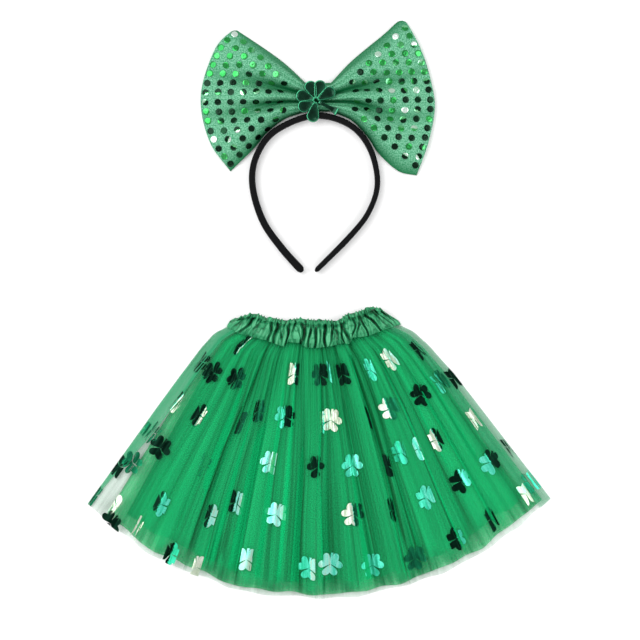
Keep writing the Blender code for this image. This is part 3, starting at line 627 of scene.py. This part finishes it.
def motif_grid(rings, steps):
    """Points and faces of one flat shamrock: three hearts and a stem, finely cut so that it can bend."""
    points, faces = [], []
    outline = leaf_outline(steps)
    centre = np.array([0.0, 0.55])
    for turn in (-118.0, 0.0, 118.0):
        first = len(points)
        for share in np.linspace(0.0, 1.0, rings + 1)[1:]:
            points += turned(centre + (outline - centre) * share, turn + 180).tolist()
        points += turned([centre], turn + 180).tolist()
        faces += [tuple(f) for f in grid_faces(rings, steps, first, closed=True)]
        last = len(points) - 1
        faces += [(first + (j + 1) % steps, first + j, last) for j in range(steps)]
    first = len(points)
    for k in range(7):
        share = k / 6
        half = 0.055 + 0.05 * share**2
        bend = 0.08 * share**2
        points += [(bend - half, 0.95 * share), (bend + half, 0.95 * share)]
    faces += [(first + 2 * k, first + 2 * k + 1, first + 2 * k + 3, first + 2 * k + 2) for k in range(6)]
    return np.array(points), faces


def surface_lookup(tulle):
    """A fine table of the front of the layer, to lay motifs on: places by radius step and share."""
    steps = np.linspace(0.0, 1.0, 120)
    places, infos = zip(*[tulle.ring(v) for v in steps])
    angles, radii = (np.array([info[k] for info in infos]) for k in (0, 1))
    return steps, np.array(places), angles, radii


def make_foil(tulle, material):
    steps, places, angles, radii = surface_lookup(tulle)
    moves = np.linalg.norm(np.diff(places, axis=1), axis=2)
    walk = np.concatenate([np.zeros((len(steps), 1)), np.cumsum(moves, axis=1)], axis=1)
    base, base_faces = motif_grid(MOTIF_RINGS, MOTIF_STEPS)
    points, faces, painted_reflections, cloths, hidden = [], [], [], [], []
    for x, y, stem, left_painted_reflection, right_painted_reflection, left_end, right_end, folded in FOIL:
        angle, radius = polar(x, y)
        start = int(np.argmin(np.abs(angles[60] - angle)))
        row = int(np.argmin(np.abs(radii[:, start] - radius)))
        away = np.hypot(places[row, :, 0] - x, places[row, :, 1] - y)
        start = int(np.argmin(away - 0.2 * places[row, :, 2]))
        across, down = turned(base, stem - 90.0 - angle).T * MOTIF_SIZE
        shown = (across > left_end * MOTIF_HALF_WIDTH) & (across < right_end * MOTIF_HALF_WIDTH)
        across = np.clip(across, left_end * MOTIF_HALF_WIDTH, right_end * MOTIF_HALF_WIDTH)
        row_step = (radii[-1, start] - radii[0, start]) / (len(steps) - 1)
        row_at = np.clip(row - down / row_step, 0, len(steps) - 1.001)
        low = row_at.astype(int)
        part = (row_at - low)[:, None]
        spots = np.zeros((len(base), 3))
        for k, r in enumerate(low):
            above, below = (
                np.array([np.interp(across[k] + walk[i, start], walk[i], axis) for axis in places[i].T])
                for i in (r, r + 1)
            )
            spots[k] = above * (1 - part[k]) + below * part[k]
        spots[:, 2] += FOIL_LIFT
        kept = [f for f in base_faces if shown[list(f)].any()]
        faces += [tuple(i + len(points) for i in f) for f in kept]
        points += spots.tolist()
        # The motif's two halves, split at a random crease, get their own painted reflections
        crease = RNG.uniform(-2.5, 2.5)
        painted_reflections.append(np.where(across < crease, left_painted_reflection, right_painted_reflection))
        hidden.append(np.full(len(base), folded))
        cloths.append(np.stack([across + RNG.uniform(0, 500.0), row_at * row_step, 0.0 * across], axis=1))
    used = np.unique(np.concatenate([np.array(f) for f in faces]))
    place_of = {old: new for new, old in enumerate(used)}
    faces = [tuple(place_of[i] for i in f) for f in faces]
    made = add_mesh("foil_shamrocks", np.array(points)[used], faces, material,
                    {"painted_reflection": np.concatenate(painted_reflections)[used], "cloth": np.concatenate(cloths)[used],
                     "folded": np.concatenate(hidden)[used]})
    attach(made, "root")
    return made


# The band's edges on the fan: angle, radius of the ruffled top, radius of the seam
BAND_EDGES = (
    (-31.3, 157.6, 164.3), (-28.5, 148.5, 164.6), (-26.0, 142.1, 164.3), (-23.0, 138.9, 162.4),
    (-18.8, 139.4, 161.3), (-16.3, 137.5, 160.8), (-13.4, 137.2, 161.8), (-9.9, 136.6, 163.0),
    (-8.6, 135.0, 157.6), (-5.0, 132.6, 157.3), (-3.6, 133.2, 159.4), (-2.0, 133.6, 161.2),
    (1.7, 134.2, 161.8), (5.2, 134.6, 161.3), (11.3, 137.4, 160.0), (13.3, 134.3, 162.4),
    (15.0, 133.0, 156.8), (20.4, 133.8, 159.8), (25.8, 134.2, 160.4), (29.0, 139.5, 162.0),
    (30.8, 149.0, 162.8), (32.7, 161.3, 164.6),
)
# How high the front lies, by share of the way from the top to the seam
BAND_HEIGHTS = (
    (0.0, 9.0), (0.12, 11.5), (0.22, 10.6), (0.32, 13.0), (0.55, 15.8), (0.84, 16.2), (1.0, 12.8),
)
# The creases: angle at the top, halfway and at the seam, share at which it starts, depth, half width
BAND_FOLDS = (
    (-26.9, -28.2, -29.4, 0.1, 1.0, 0.35), (-25.2, -26.8, -28.4, 0.2, 0.8, 0.3),
    (-23.1, -24.7, -26.4, 0.1, 4.2, 0.6), (-20.6, -21.2, -22.8, 0.25, 0.9, 0.6),
    (-18.2, -18.0, -19.4, 0.2, 1.1, 0.5), (-16.3, -16.0, -15.6, 0.15, 3.2, 0.55),
    (-14.1, -13.8, -13.8, 0.1, 4.2, 0.75), (-12.4, -11.6, -11.2, 0.2, 1.8, 0.4),
    (-9.6, -9.4, -9.1, 0.15, 3.4, 0.45), (-7.3, -7.5, -6.8, 0.1, 0.9, 0.4),
    (-5.2, -4.9, -4.4, 0.3, 1.6, 0.35), (-3.0, -3.2, -3.6, 0.12, 4.6, 0.8),
    (-0.4, -0.6, -1.4, 0.18, 2.6, 0.45), (1.8, 1.9, 0.6, 0.15, 3.0, 0.5),
    (3.4, 3.0, 3.0, 0.2, 1.6, 0.35), (5.0, 5.1, 4.8, 0.08, 4.4, 0.6),
    (9.8, 8.0, 5.9, 0.15, 2.8, 0.45), (8.0, 9.4, 9.6, 0.2, 1.2, 0.4),
    (11.2, 11.6, 11.6, 0.12, 2.6, 0.35), (12.5, 12.9, 13.3, 0.12, 4.2, 0.6),
    (17.2, 17.0, 14.8, 0.12, 2.2, 0.4), (19.0, 19.0, 16.4, 0.1, 2.4, 0.45),
    (20.6, 20.5, 20.3, 0.2, 2.8, 0.4), (21.4, 23.7, 25.9, 0.12, 4.2, 0.5),
    (24.0, 27.0, 28.9, 0.1, 1.4, 0.4), (26.0, 28.8, 30.0, 0.1, 1.4, 0.35),
    (28.3, 30.6, 31.8, 0.05, 2.0, 0.35),
)
GATHER_DEGREES = 1.75
BAND_AROUND = 900
BAND_DOWN = 48
BAND_BACK_SAMPLES = 120
BAND_CLOTH_DEPTH = 28.0
BAND_FOOT = 3.4
BAND_SIDE_RISE = 7.0
BAND_SIDE_RISE_ADDED_AT_SEAM = 14.0


def band_relief(angle, t):
    """How far gathers and creases raise or sink the band's front, and how light they are painted, 0 to 1:
    painted shade in the hollows and the pinch, painted highlights on the ribs, swells and lips.
    """
    place = angle + 0.8 * np.sin(angle * 0.55 + 1.0) + 1.1 * t * np.sin(angle * 0.62 + 0.5)
    place = place + 0.22 * np.sin(9.0 * t + 1.3 * angle) + 0.12 * np.sin(17.0 * t - 2.1 * angle)
    wave = math.pi * place / GATHER_DEGREES + 0.9 * np.sin(angle * 0.83)
    rib = np.abs(np.sin(wave)) ** 0.8
    small = np.abs(np.sin(2.3 * wave + 1.0 + 2.0 * t)) ** 0.8
    strength = 0.65 + 0.35 * np.sin(angle * 1.7 + 3.0 * t)
    amount = (1.0 - 0.88 * smoothstep((t - 0.16) / 0.42)) * strength
    soft = np.sin(2 * math.pi * angle / 3.1 + 2.2 * np.sin(angle * 0.5) + 2.0 * t)
    pinch = math.exp(-(((t - 0.21) / 0.055) ** 2)) * (0.6 + 0.4 * np.sin(angle * 2.6))
    relief = (1.9 * rib + 0.7 * small) * amount + 0.8 * soft * smoothstep((t - 0.2) / 0.3) - 1.2 * pinch
    # Painted shade in the hollows of the gathers and along the pinch
    painted_crease_shade = 0.95 * np.exp(-((rib / 0.42) ** 2)) + 0.35 * np.exp(-((small / 0.3) ** 2))
    painted_crease_shade = painted_crease_shade * amount + 0.45 * pinch
    # Painted highlights on the rib tops and the soft swells
    painted_highlight = 0.8 * np.clip(rib - 0.75, 0.0, 1.0) * amount + 0.25 * np.clip(soft, 0.0, 1.0)
    for k, (top, halfway, seam, start, depth, half) in enumerate(BAND_FOLDS):
        line = np.interp(t, (0.0, 0.5, 1.0), (top, halfway, seam)) + 0.40 * math.sin(6.5 * t + 2.1 * k)
        off = (angle - line) / (half * (1.15 - 0.55 * t))
        lasting = 1.0 - (0.35 + 0.35 * math.sin(3.7 * k)) * smoothstep((t - 0.5) / 0.45)
        sunk = np.exp(-(off**2)) * smoothstep((t - start) / 0.2) * lasting
        lip = np.exp(-(((np.abs(off) - 2.1) / 0.9) ** 2)) * smoothstep((t - start) / 0.3)
        relief = relief + 0.30 * depth * lip - 0.75 * depth * sunk
        # Each crease adds painted shade in its hollow and a painted highlight on its lips
        painted_crease_shade = painted_crease_shade + min(depth, 2.6) / 2.6 * sunk
        painted_highlight = painted_highlight + 0.10 * depth * lip
    return relief, np.clip(0.60 - 0.60 * painted_crease_shade + 0.40 * painted_highlight, 0.0, 1.0)


def make_waistband(material):
    left, right = BAND_EDGES[0][0], BAND_EDGES[-1][0]
    angle = np.linspace(left, right, BAND_AROUND)
    top, seam = (column(BAND_EDGES, angle, k) for k in (1, 2))
    rows, painted_shades, backs = [], [], []
    back_angle = np.linspace(right, left, BAND_BACK_SAMPLES)
    back_top, back_seam = (column(BAND_EDGES, back_angle, k) for k in (1, 2))
    for t in np.linspace(0.0, 1.0, BAND_DOWN):
        relief, light = band_relief(angle, t)
        edge = np.minimum(angle - left, right - angle) * math.radians(1.0) * top
        reach = BAND_SIDE_RISE + BAND_SIDE_RISE_ADDED_AT_SEAM * t
        rise = column(BAND_HEIGHTS, t, 1) + relief - BAND_FOOT
        z = BAND_FOOT + rise * smoothstep(edge / reach + 0.1)
        frill = 1.3 * np.sin(2 * math.pi * angle / 1.9 + 2.6 * np.sin(angle * 0.9))
        frill = frill * max(0.0, 1.0 - t / 0.25)
        radius = top + (seam - top) * t + frill
        rows.append(fan_point(angle, radius, z))
        painted_shades.append(light)
        back_radius = back_top + (back_seam - back_top) * t
        backs.append(fan_point(back_angle, back_radius, 0.5 + 0.25 * np.sin(back_angle * 2.3)))
    rings = np.concatenate([np.array(rows), np.array(backs)], axis=1)
    count, columns = rings.shape[:2]
    walk = walked_along(rings[count // 2])
    cloth = np.zeros(rings.shape)
    cloth[..., 0] = walk[None]
    cloth[..., 1] = np.linspace(0.0, BAND_CLOTH_DEPTH, count)[:, None]
    # Painted shade and highlights on the front, an even middle on the back
    depth = np.concatenate([np.array(painted_shades), np.full(np.array(backs).shape[:2], 0.6)], axis=1)
    faces = grid_faces(count, columns, closed=True)
    made = add_mesh("waistband_satin", rings.reshape(-1, 3), faces, material,
                    {"cloth": cloth.reshape(-1, 3), "depth": depth.ravel()})
    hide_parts("waistband")
    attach(made, "root")
    return made


HOOP_LINE = (
    (-16.2, 37.6), (-37.5, 61.5), (-56.5, 89.5), (-66.5, 125.0), (-62.0, 154.0), (-43.0, 178.5),
    (-5.0, 193.3), (30.0, 184.5), (50.5, 161.0), (58.3, 127.0), (50.0, 98.0), (31.0, 73.0),
    (-3.8, 37.8),
)
# By share of the way from its left tip to its right one
HOOP_HALF_THICKNESS = (
    (0.0, 3.9), (0.2, 3.4), (0.35, 3.0), (0.5, 3.1), (0.8, 2.7), (0.9, 3.0), (1.0, 2.6),
)
HOOP_DEPTH = 12.0
HOOP_STATIONS = 300
HOOP_AROUND = 28
HOOP_SQUARENESS = 0.55
HOOP_TIP_LENGTH = 5.0


def make_hoop(material):
    # Stations lie closer together towards the tips, which are rounded off
    swung = np.cos(math.pi * np.linspace(0.0, 1.0, HOOP_STATIONS))
    shares = 0.5 - 0.5 * swung * (0.35 + 0.65 * np.abs(swung) ** 0.2)
    shares = np.clip((shares - shares.min()) / (shares.max() - shares.min()), 0.0, 1.0)
    line = smooth_line(HOOP_LINE, shares)
    ahead = np.gradient(line, axis=0)
    ahead /= np.linalg.norm(ahead, axis=1)[:, None]
    sideways = np.stack([ahead[:, 1], -ahead[:, 0]], axis=1)
    walked = walked_along(line)
    turns = np.linspace(0.0, 2 * math.pi, HOOP_AROUND, endpoint=False)
    across, up = (np.sign(c) * np.abs(c) ** HOOP_SQUARENESS for c in (np.cos(turns), np.sin(turns)))
    points, cloth = [], []
    for i in range(HOOP_STATIONS):
        from_tip = min(walked[i], walked[-1] - walked[i]) / HOOP_TIP_LENGTH
        taper = 1.0 if from_tip >= 1 else math.sqrt(max(0.0, 1 - (1 - from_tip) ** 2))
        half = column(HOOP_HALF_THICKNESS, shares[i], 1) * max(taper, 0.04)
        place = line[i] + sideways[i] * (across * half)[:, None]
        z = HOOP_DEPTH * (0.5 + 0.5 * up * (0.35 + 0.65 * taper))
        points.append(np.column_stack([place, z]))
        cloth.append(np.column_stack([np.full(HOOP_AROUND, walked[i]), turns * 6.0, np.zeros(HOOP_AROUND)]))
    points = np.concatenate(points)
    last = (HOOP_STATIONS - 1) * HOOP_AROUND
    faces = [tuple(f) for f in grid_faces(HOOP_STATIONS, HOOP_AROUND, closed=True)]
    faces += [tuple(range(HOOP_AROUND))[::-1], tuple(range(last, last + HOOP_AROUND))]
    made = add_mesh("headband_ribbon", points, faces, material, {"cloth": np.concatenate(cloth)})
    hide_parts("headband")
    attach(made, "root")
    return made


KNOT_LEFT = ((-13.0, 226.0), (-13.0, 197.6))
KNOT_RIGHT = ((12.0, 226.5), (12.0, 197.6))
LEFT_WING = {
    "top": (KNOT_LEFT[0], (-39.0, 249.5), (-82.0, 279.0)),
    "outer": (
        (-82.0, 279.0), (-88.5, 276.8), (-103.0, 261.0), (-115.5, 228.0), (-117.5, 199.0), (-108.0, 165.0),
        (-88.5, 138.0),
    ),
    "bottom": (KNOT_LEFT[1], (-34.5, 190.0), (-52.5, 176.0), (-64.5, 161.5), (-88.5, 138.0)),
}
RIGHT_WING = {
    "top": (KNOT_RIGHT[0], (33.0, 248.5), (65.0, 275.0), (78.0, 287.0), (83.5, 288.7)),
    "outer": (
        (83.5, 288.7), (89.0, 284.0), (104.0, 254.0), (113.0, 222.0), (115.5, 199.0), (109.0, 166.0),
        (97.5, 134.0),
    ),
    "bottom": (KNOT_RIGHT[1], (32.5, 188.8), (49.0, 171.5), (59.5, 156.0), (79.0, 138.5), (97.5, 134.0)),
}
# Each section of a wing: share of the way out from the knot, height of its folds, where the upper and the
# lower crease lie across it, and how far the creases are filled
WING_SECTIONS = (
    (0.00, 8.4, 0.42, 0.66, 0.10), (0.10, 8.8, 0.43, 0.66, 0.12), (0.30, 15.0, 0.42, 0.67, 0.22),
    (0.60, 13.0, 0.37, 0.64, 0.55), (1.00, 5.0, 0.34, 0.61, 1.00),
)
BOW_EDGE_HEIGHT = 3.0
BOW_ALONG = 60
BOW_ACROSS = 110
SEQUIN_RADIUS = 3.35
# Each column of sequins: how far out it lies, as a share of the way from the knot to the wing's edge
SEQUIN_REACHES = (0.955, 0.835, 0.715, 0.595, 0.475, 0.36, 0.25)
SEQUIN_SPACING = 9.6
SEQUIN_MARGIN = 6.0
SEQUIN_LIFT = 0.7
SEQUIN_SIDES = 14
# A sequin's rings from its edge inwards: share of the radius, height
SEQUIN_PROFILE = ((1.0, 0.0), (0.72, 0.28), (0.30, 0.12))


def wing_plan(wing, alongs, acrosses):
    top, bottom = smooth_line(wing["top"], alongs), smooth_line(wing["bottom"], alongs)
    outer = smooth_line(wing["outer"], acrosses)
    start, end = np.array(wing["top"][0]), np.array(wing["bottom"][0])
    inner = start + (end - start) * np.array(acrosses)[:, None]
    a, b = np.array(alongs)[:, None, None], np.array(acrosses)[None, :, None]
    edges = (1 - b) * top[:, None] + b * bottom[:, None] + (1 - a) * inner[None] + a * outer[None]
    corners = (1 - a) * ((1 - b) * top[0] + b * bottom[0]) + a * ((1 - b) * top[-1] + b * bottom[-1])
    return edges - corners


def wing_height(along, across):
    """The wing's upper face, and how light it is painted, 0 to 1, with painted shade down in the creases
    and gather troughs, for arrays of places.
    """
    ridge, upper, lower, filled = (column(WING_SECTIONS, along, k) for k in (1, 2, 3, 4))
    q = np.where(across < lower, (across - upper) / (lower - upper), (across - lower) / (1 - lower))
    q = np.where(across < upper, across / upper, q)
    hump = np.sin(math.pi * np.clip(q, 0, 1)) ** 0.85
    whole = np.sin(math.pi * np.clip(across, 0, 1)) ** 0.5
    end = 1.0 - 0.45 * smoothstep((along - 0.85) / 0.15)
    level = np.maximum(hump, filled * 0.85 * whole)
    fade = np.clip(1.0 - along / 0.75, 0.0, 1.0)
    gather = np.sin(across * 46.0 + 3.0 * along + 1.5 * np.sin(across * 9.0))
    fine = 0.9 * fade * gather * (0.4 + 0.6 * whole)
    fine = fine + 0.30 * np.sin(across * 21.0 + along * 5.0) * (1.0 - 0.5 * along) * whole
    # Painted shade: dark down in the creases and gather troughs, light on the fold tops
    depth = 0.9 * hump**1.3 + 0.75 * filled**1.5 * whole - 0.40 * fade * np.clip(-gather, 0.0, 1.0)
    depth = np.clip(depth, 0.0, 1.0)
    return BOW_EDGE_HEIGHT * end + ridge * level + fine, depth


def surface_of_wing(wing, alongs, acrosses):
    plan = wing_plan(wing, alongs, acrosses)
    a, b = np.meshgrid(alongs, acrosses, indexing="ij")
    z, depth = wing_height(a, b)
    return np.concatenate([plan, z[..., None]], axis=2), depth


def make_bow(material):
    alongs = np.linspace(0.0, 1.0, BOW_ALONG) ** 1.1
    acrosses = np.linspace(0.0, 1.0, BOW_ACROSS)
    left, left_painted_shade = surface_of_wing(LEFT_WING, alongs, acrosses)
    right, right_painted_shade = surface_of_wing(RIGHT_WING, alongs, acrosses)
    top = np.concatenate([left[::-1], right])
    # The painted shade of both wings, for the material
    depth = np.concatenate([left_painted_shade[::-1], right_painted_shade])
    bottom = top.copy()
    bottom[..., 2] = np.maximum(0.2, top[..., 2] * 0.25 - 0.6)
    edge = np.ones(top.shape[:2], bool)
    edge[1:-1, 1:-1] = False
    bottom[edge, 2] = np.maximum(0.2, top[edge, 2] - 1.6)
    rows, columns = top.shape[:2]
    shift = rows * columns
    faces = [tuple(f) for f in grid_faces(rows, columns)]
    faces += [tuple(f[::-1] + shift) for f in grid_faces(rows, columns)]
    rim = [(i, 0) for i in range(rows)] + [(rows - 1, j) for j in range(1, columns)]
    rim += [(i, columns - 1) for i in range(rows - 2, -1, -1)] + [(0, j) for j in range(columns - 2, 0, -1)]
    rim = [i * columns + j for i, j in rim]
    faces += [(b, a, a + shift, b + shift) for a, b in zip(rim, rim[1:] + rim[:1])]
    cloth = np.zeros(top.shape)
    cloth[..., :2] = top[..., :2]
    made = add_mesh("bow_cloth", np.vstack([top.reshape(-1, 3), bottom.reshape(-1, 3)]), faces, material,
                    {"cloth": np.vstack([cloth.reshape(-1, 3)] * 2),
                     "depth": np.concatenate([depth.ravel()] * 2)})
    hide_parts("bow")
    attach(made, "root")
    return made


def sequin_column(wing, reach):
    """Evenly spaced places along the outer edge's curve, drawn in towards the knot."""
    knot = 0.5 * (np.array(wing["top"][0]) + np.array(wing["bottom"][0]))
    fine = smooth_line(wing["outer"], np.linspace(0.0, 1.0, 300))
    line = knot + (fine - knot) * reach
    walk = walked_along(line)
    count = int((walk[-1] - SEQUIN_MARGIN) / SEQUIN_SPACING) + 1
    start = 0.5 * (walk[-1] - (count - 1) * SEQUIN_SPACING)
    places = start + np.arange(count) * SEQUIN_SPACING + RNG.uniform(-0.5, 0.5, count)
    return np.stack([np.interp(places, walk, line[:, axis]) for axis in (0, 1)], axis=1)


def add_disc(points, faces, middle, normal):
    """One sequin: a shallow cup, its edge resting on the cloth."""
    side = normal.orthogonal().normalized()
    other = normal.cross(side)
    first = len(points)
    for reach, rise in SEQUIN_PROFILE:
        for turn in np.linspace(0.0, 2 * math.pi, SEQUIN_SIDES, endpoint=False):
            offset = side * math.cos(turn) + other * math.sin(turn)
            points.append(tuple(middle + offset * reach * SEQUIN_RADIUS + normal * rise))
    rings = len(SEQUIN_PROFILE)
    faces += [tuple(f) for f in grid_faces(rings, SEQUIN_SIDES, first, closed=True)]
    faces.append(tuple(range(first + (rings - 1) * SEQUIN_SIDES, first + rings * SEQUIN_SIDES)))
    return rings * SEQUIN_SIDES


def sequin_painted_reflections(x, y):
    """Painted reflections from dark, 0, to a white flash, 1, for a sequin's two halves: painted green
    reflections towards the wing's top.
    """
    near_flash = math.exp(-(((x - 85.0) / 32.0) ** 2) - ((y - 222.0) / 42.0) ** 2)
    white = 0.05 + 0.25 * near_flash
    green = 0.12 + 0.86 * float(smoothstep((y - 222.0) / 26.0))
    green += 0.22 * math.exp(-(((y - 196.0) / 12.0) ** 2))
    draw = RNG.random()
    if draw < white:
        painted_reflection = RNG.uniform(0.80, 1.0)
    elif draw < white + (1.0 - white) * green:
        painted_reflection = RNG.uniform(0.48, 0.62)
    else:
        painted_reflection = RNG.uniform(0.08, 0.26)
    other = RNG.uniform(0.35, 0.95)
    return (painted_reflection, other) if RNG.random() < 0.30 else (painted_reflection, painted_reflection)


def make_sequins(material):
    """Discs sewn in columns across each wing, each lying on the cloth and tipped a little."""
    points, faces, painted_reflections, cloths = [], [], [], []
    for wing in (LEFT_WING, RIGHT_WING):
        surface = surface_of_wing(wing, np.linspace(0.0, 1.0, 130), np.linspace(0.0, 1.0, 200))[0]
        across = np.gradient(surface, axis=1)
        along = np.gradient(surface, axis=0)
        normals = np.cross(along, across)
        normals *= np.sign(normals[..., 2:3])
        normals /= np.linalg.norm(normals, axis=2)[..., None]
        for c, reach in enumerate(SEQUIN_REACHES):
            for k, (x, y) in enumerate(sequin_column(wing, reach)):
                away = (surface[..., 0] - x) ** 2 + (surface[..., 1] - y) ** 2
                at = np.unravel_index(int(np.argmin(away)), away.shape)
                if away[at] > 1.5 or min(at[1], 199 - at[1]) < 5:
                    continue
                normal = (Vector(normals[at]) + Vector(RNG.normal(0.0, 0.06, 3))).normalized()
                middle = Vector((x, y, surface[at][2])) + normal * SEQUIN_LIFT
                painted_reflection, other = sequin_painted_reflections(x, y)
                count = add_disc(points, faces, middle, normal)
                # Part of the disc, past a random line, takes the second painted reflection
                turn = RNG.uniform(0.0, 2 * math.pi)
                offsets = (np.array(points[-count:]) - np.array(middle))[:, :2]
                aside = offsets @ (math.cos(turn), math.sin(turn))
                painted_reflections += np.where(aside > 0.2 * SEQUIN_RADIUS, other, painted_reflection).tolist()
                cloths += [np.array(points[-count:]) + RNG.uniform(0.0, 50.0)]
    made = add_mesh("sequins", points, faces, material, {"painted_reflection": painted_reflections, "cloth": np.concatenate(cloths)})
    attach(made, "root")
    return made


# The moulded shamrock's middle, and the height of its back
SHAMROCK_X = -3.0
SHAMROCK_Y = 208.0
SHAMROCK_BACK = 12.3
# Each lobe: angle, reach from the middle, half width
LOBES = (
    (30.0, 21.6, 6.3), (74.0, 20.6, 6.2), (112.0, 20.4, 6.1), (163.0, 20.6, 6.4),
    (207.0, 19.6, 6.2), (259.0, 22.2, 6.3),
)
# The stem, in the same way
STEM = (-29.0, 24.5, 3.0)
# How its upper face runs inwards from the outline: share of the way in, height, how bright the painted
# highlight on the rim is
MOULDING_PROFILE = (
    (0.0, 0.0, 0.0), (0.0, 2.4, 0.4), (0.05, 3.2, 1.0), (0.12, 3.3, 1.0), (0.19, 2.6, 0.1),
    (0.5, 2.5, 0.0), (0.75, 2.45, 0.0), (1.0, 2.45, 0.0),
)


def teardrop(reach, half, steps):
    """The outline of a lobe: a point at the middle, round at its end."""
    t = np.linspace(-1.0, 1.0, steps)
    along = reach - half * 0.95 + half * 0.95 * np.cos(t * math.pi * 0.5)
    end = np.stack([along, half * np.sin(t * math.pi * 0.5)], axis=1)
    start = np.linspace(0.0, 1.0, steps // 2, endpoint=False)
    side = np.stack([1.5 + start * (end[0, 0] - 1.5), half * (0.22 + 0.78 * start**0.75)], axis=1)
    return np.vstack([side * (1, -1), end, side[::-1]])


def make_shamrock(material):
    points, faces, rim_highlights = [], [], []
    shapes = [(angle, teardrop(reach, half, 18), reach * 0.62) for angle, reach, half in LOBES]
    angle, reach, half = STEM
    t = np.linspace(0.0, 1.0, 10)
    width = half * (0.55 + 0.75 * t**3)
    along = 3.0 + (reach - 3.0) * t
    outline = np.vstack([np.stack([along, -width], axis=1), np.stack([along, width], axis=1)[::-1]])
    shapes.append((angle, outline, reach * 0.55))
    for angle, outline, middle in shapes:
        first, count = len(points), len(outline)
        centre = np.array([middle, 0.0])
        for inwards, height, rim in MOULDING_PROFILE:
            flat = turned(outline + (centre - outline) * inwards, angle)
            points += [(SHAMROCK_X + x, SHAMROCK_Y + y, SHAMROCK_BACK + height) for x, y in flat]
            rim_highlights += [rim] * count
        faces += [tuple(f) for f in grid_faces(len(MOULDING_PROFILE), count, first, closed=True)]
        faces.append(tuple(range(first, first + count))[::-1])
    made = add_mesh("shamrock_moulding", points, faces, material, {"rim": rim_highlights})
    made.data.set_sharp_from_angle(angle=math.radians(50))
    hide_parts("shamrock")
    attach(made, "root")
    return made


FLOOR_REACH = 3000
LENS_MM = 135.0
FRAME_WIDTH = 0.640
VIEW_X = 0.001
VIEW_Y = -0.0105


def area_light(name, place, size, power):
    """A white light, turned towards the middle of the floor."""
    data = bpy.data.lights.new(name, "AREA")
    data.shape = "RECTANGLE"
    data.size, data.size_y = size
    data.energy = power
    made = bpy.data.objects.new(name, data)
    made.location = place
    made.rotation_euler = (-Vector(place)).to_track_quat("-Z", "Y").to_euler()
    bpy.context.scene.collection.objects.link(made)


def make_stage():
    scene = bpy.context.scene
    scene.view_settings.view_transform = "Standard"
    scene.cycles.transparent_max_bounces = 32
    floor = Nodes("floor_paint")
    grain = floor.noise(floor.add("ShaderNodeTexCoord").outputs["Object"], scale=900.0, detail=2.0)
    floor_colour = floor.ramp(grain, (0.3, (0.90, 0.90, 0.90)), (0.7, (0.93, 0.93, 0.93)))
    floor.set(Base_Color=floor_colour, Roughness=0.9)
    floor.set(Emission_Color=(1.0, 1.0, 1.0, 1.0), Emission_Strength=0.05)
    corners = [(x * FLOOR_REACH, y * FLOOR_REACH, 0) for x, y in ((-1, -1), (1, -1), (1, 1), (-1, 1))]
    ground = add_mesh("floor", corners, [(0, 1, 2, 3)], floor.material, smooth=False)
    ground.location.z = -0.0004
    world = bpy.data.worlds.new("studio")
    scene.world = world
    world.use_nodes = True
    background = world.node_tree.nodes["Background"]
    background.inputs["Color"].default_value = (1.0, 1.0, 1.0, 1.0)
    background.inputs["Strength"].default_value = 0.58
    area_light("key", (-1.1, 0.8, 2.0), (2.4, 1.8), 44.0)
    area_light("fill", (1.3, 0.2, 1.3), (1.0, 1.0), 10.0)
    area_light("low", (0.0, -1.4, 1.2), (1.6, 0.5), 8.0)
    data = bpy.data.cameras.new("camera")
    data.lens = LENS_MM
    camera = bpy.data.objects.new("camera", data)
    camera.location = (VIEW_X, VIEW_Y, FRAME_WIDTH * LENS_MM / data.sensor_width)
    scene.collection.objects.link(camera)
    scene.camera = camera


def main():
    finishes = {
        "printed": tulle_material("printed_tulle", (0.075, 0.42, 0.21), (0.003, 0.12, 0.035), 0.10, 0.27),
        "green": tulle_material("green_tulle", (0.006, 0.64, 0.205), (0.0002, 0.08, 0.018), 0.52, 0.92),
    }
    tulles = [make_tulle(layer, finishes[layer["finish"]]) for layer in LAYERS]
    make_foil(tulles[0], foil_material())
    make_waistband(satin_material())
    make_hoop(ribbon_material())
    make_bow(knit_material())
    make_sequins(sequin_material())
    make_shamrock(moulded_material())
    make_stage()


main()
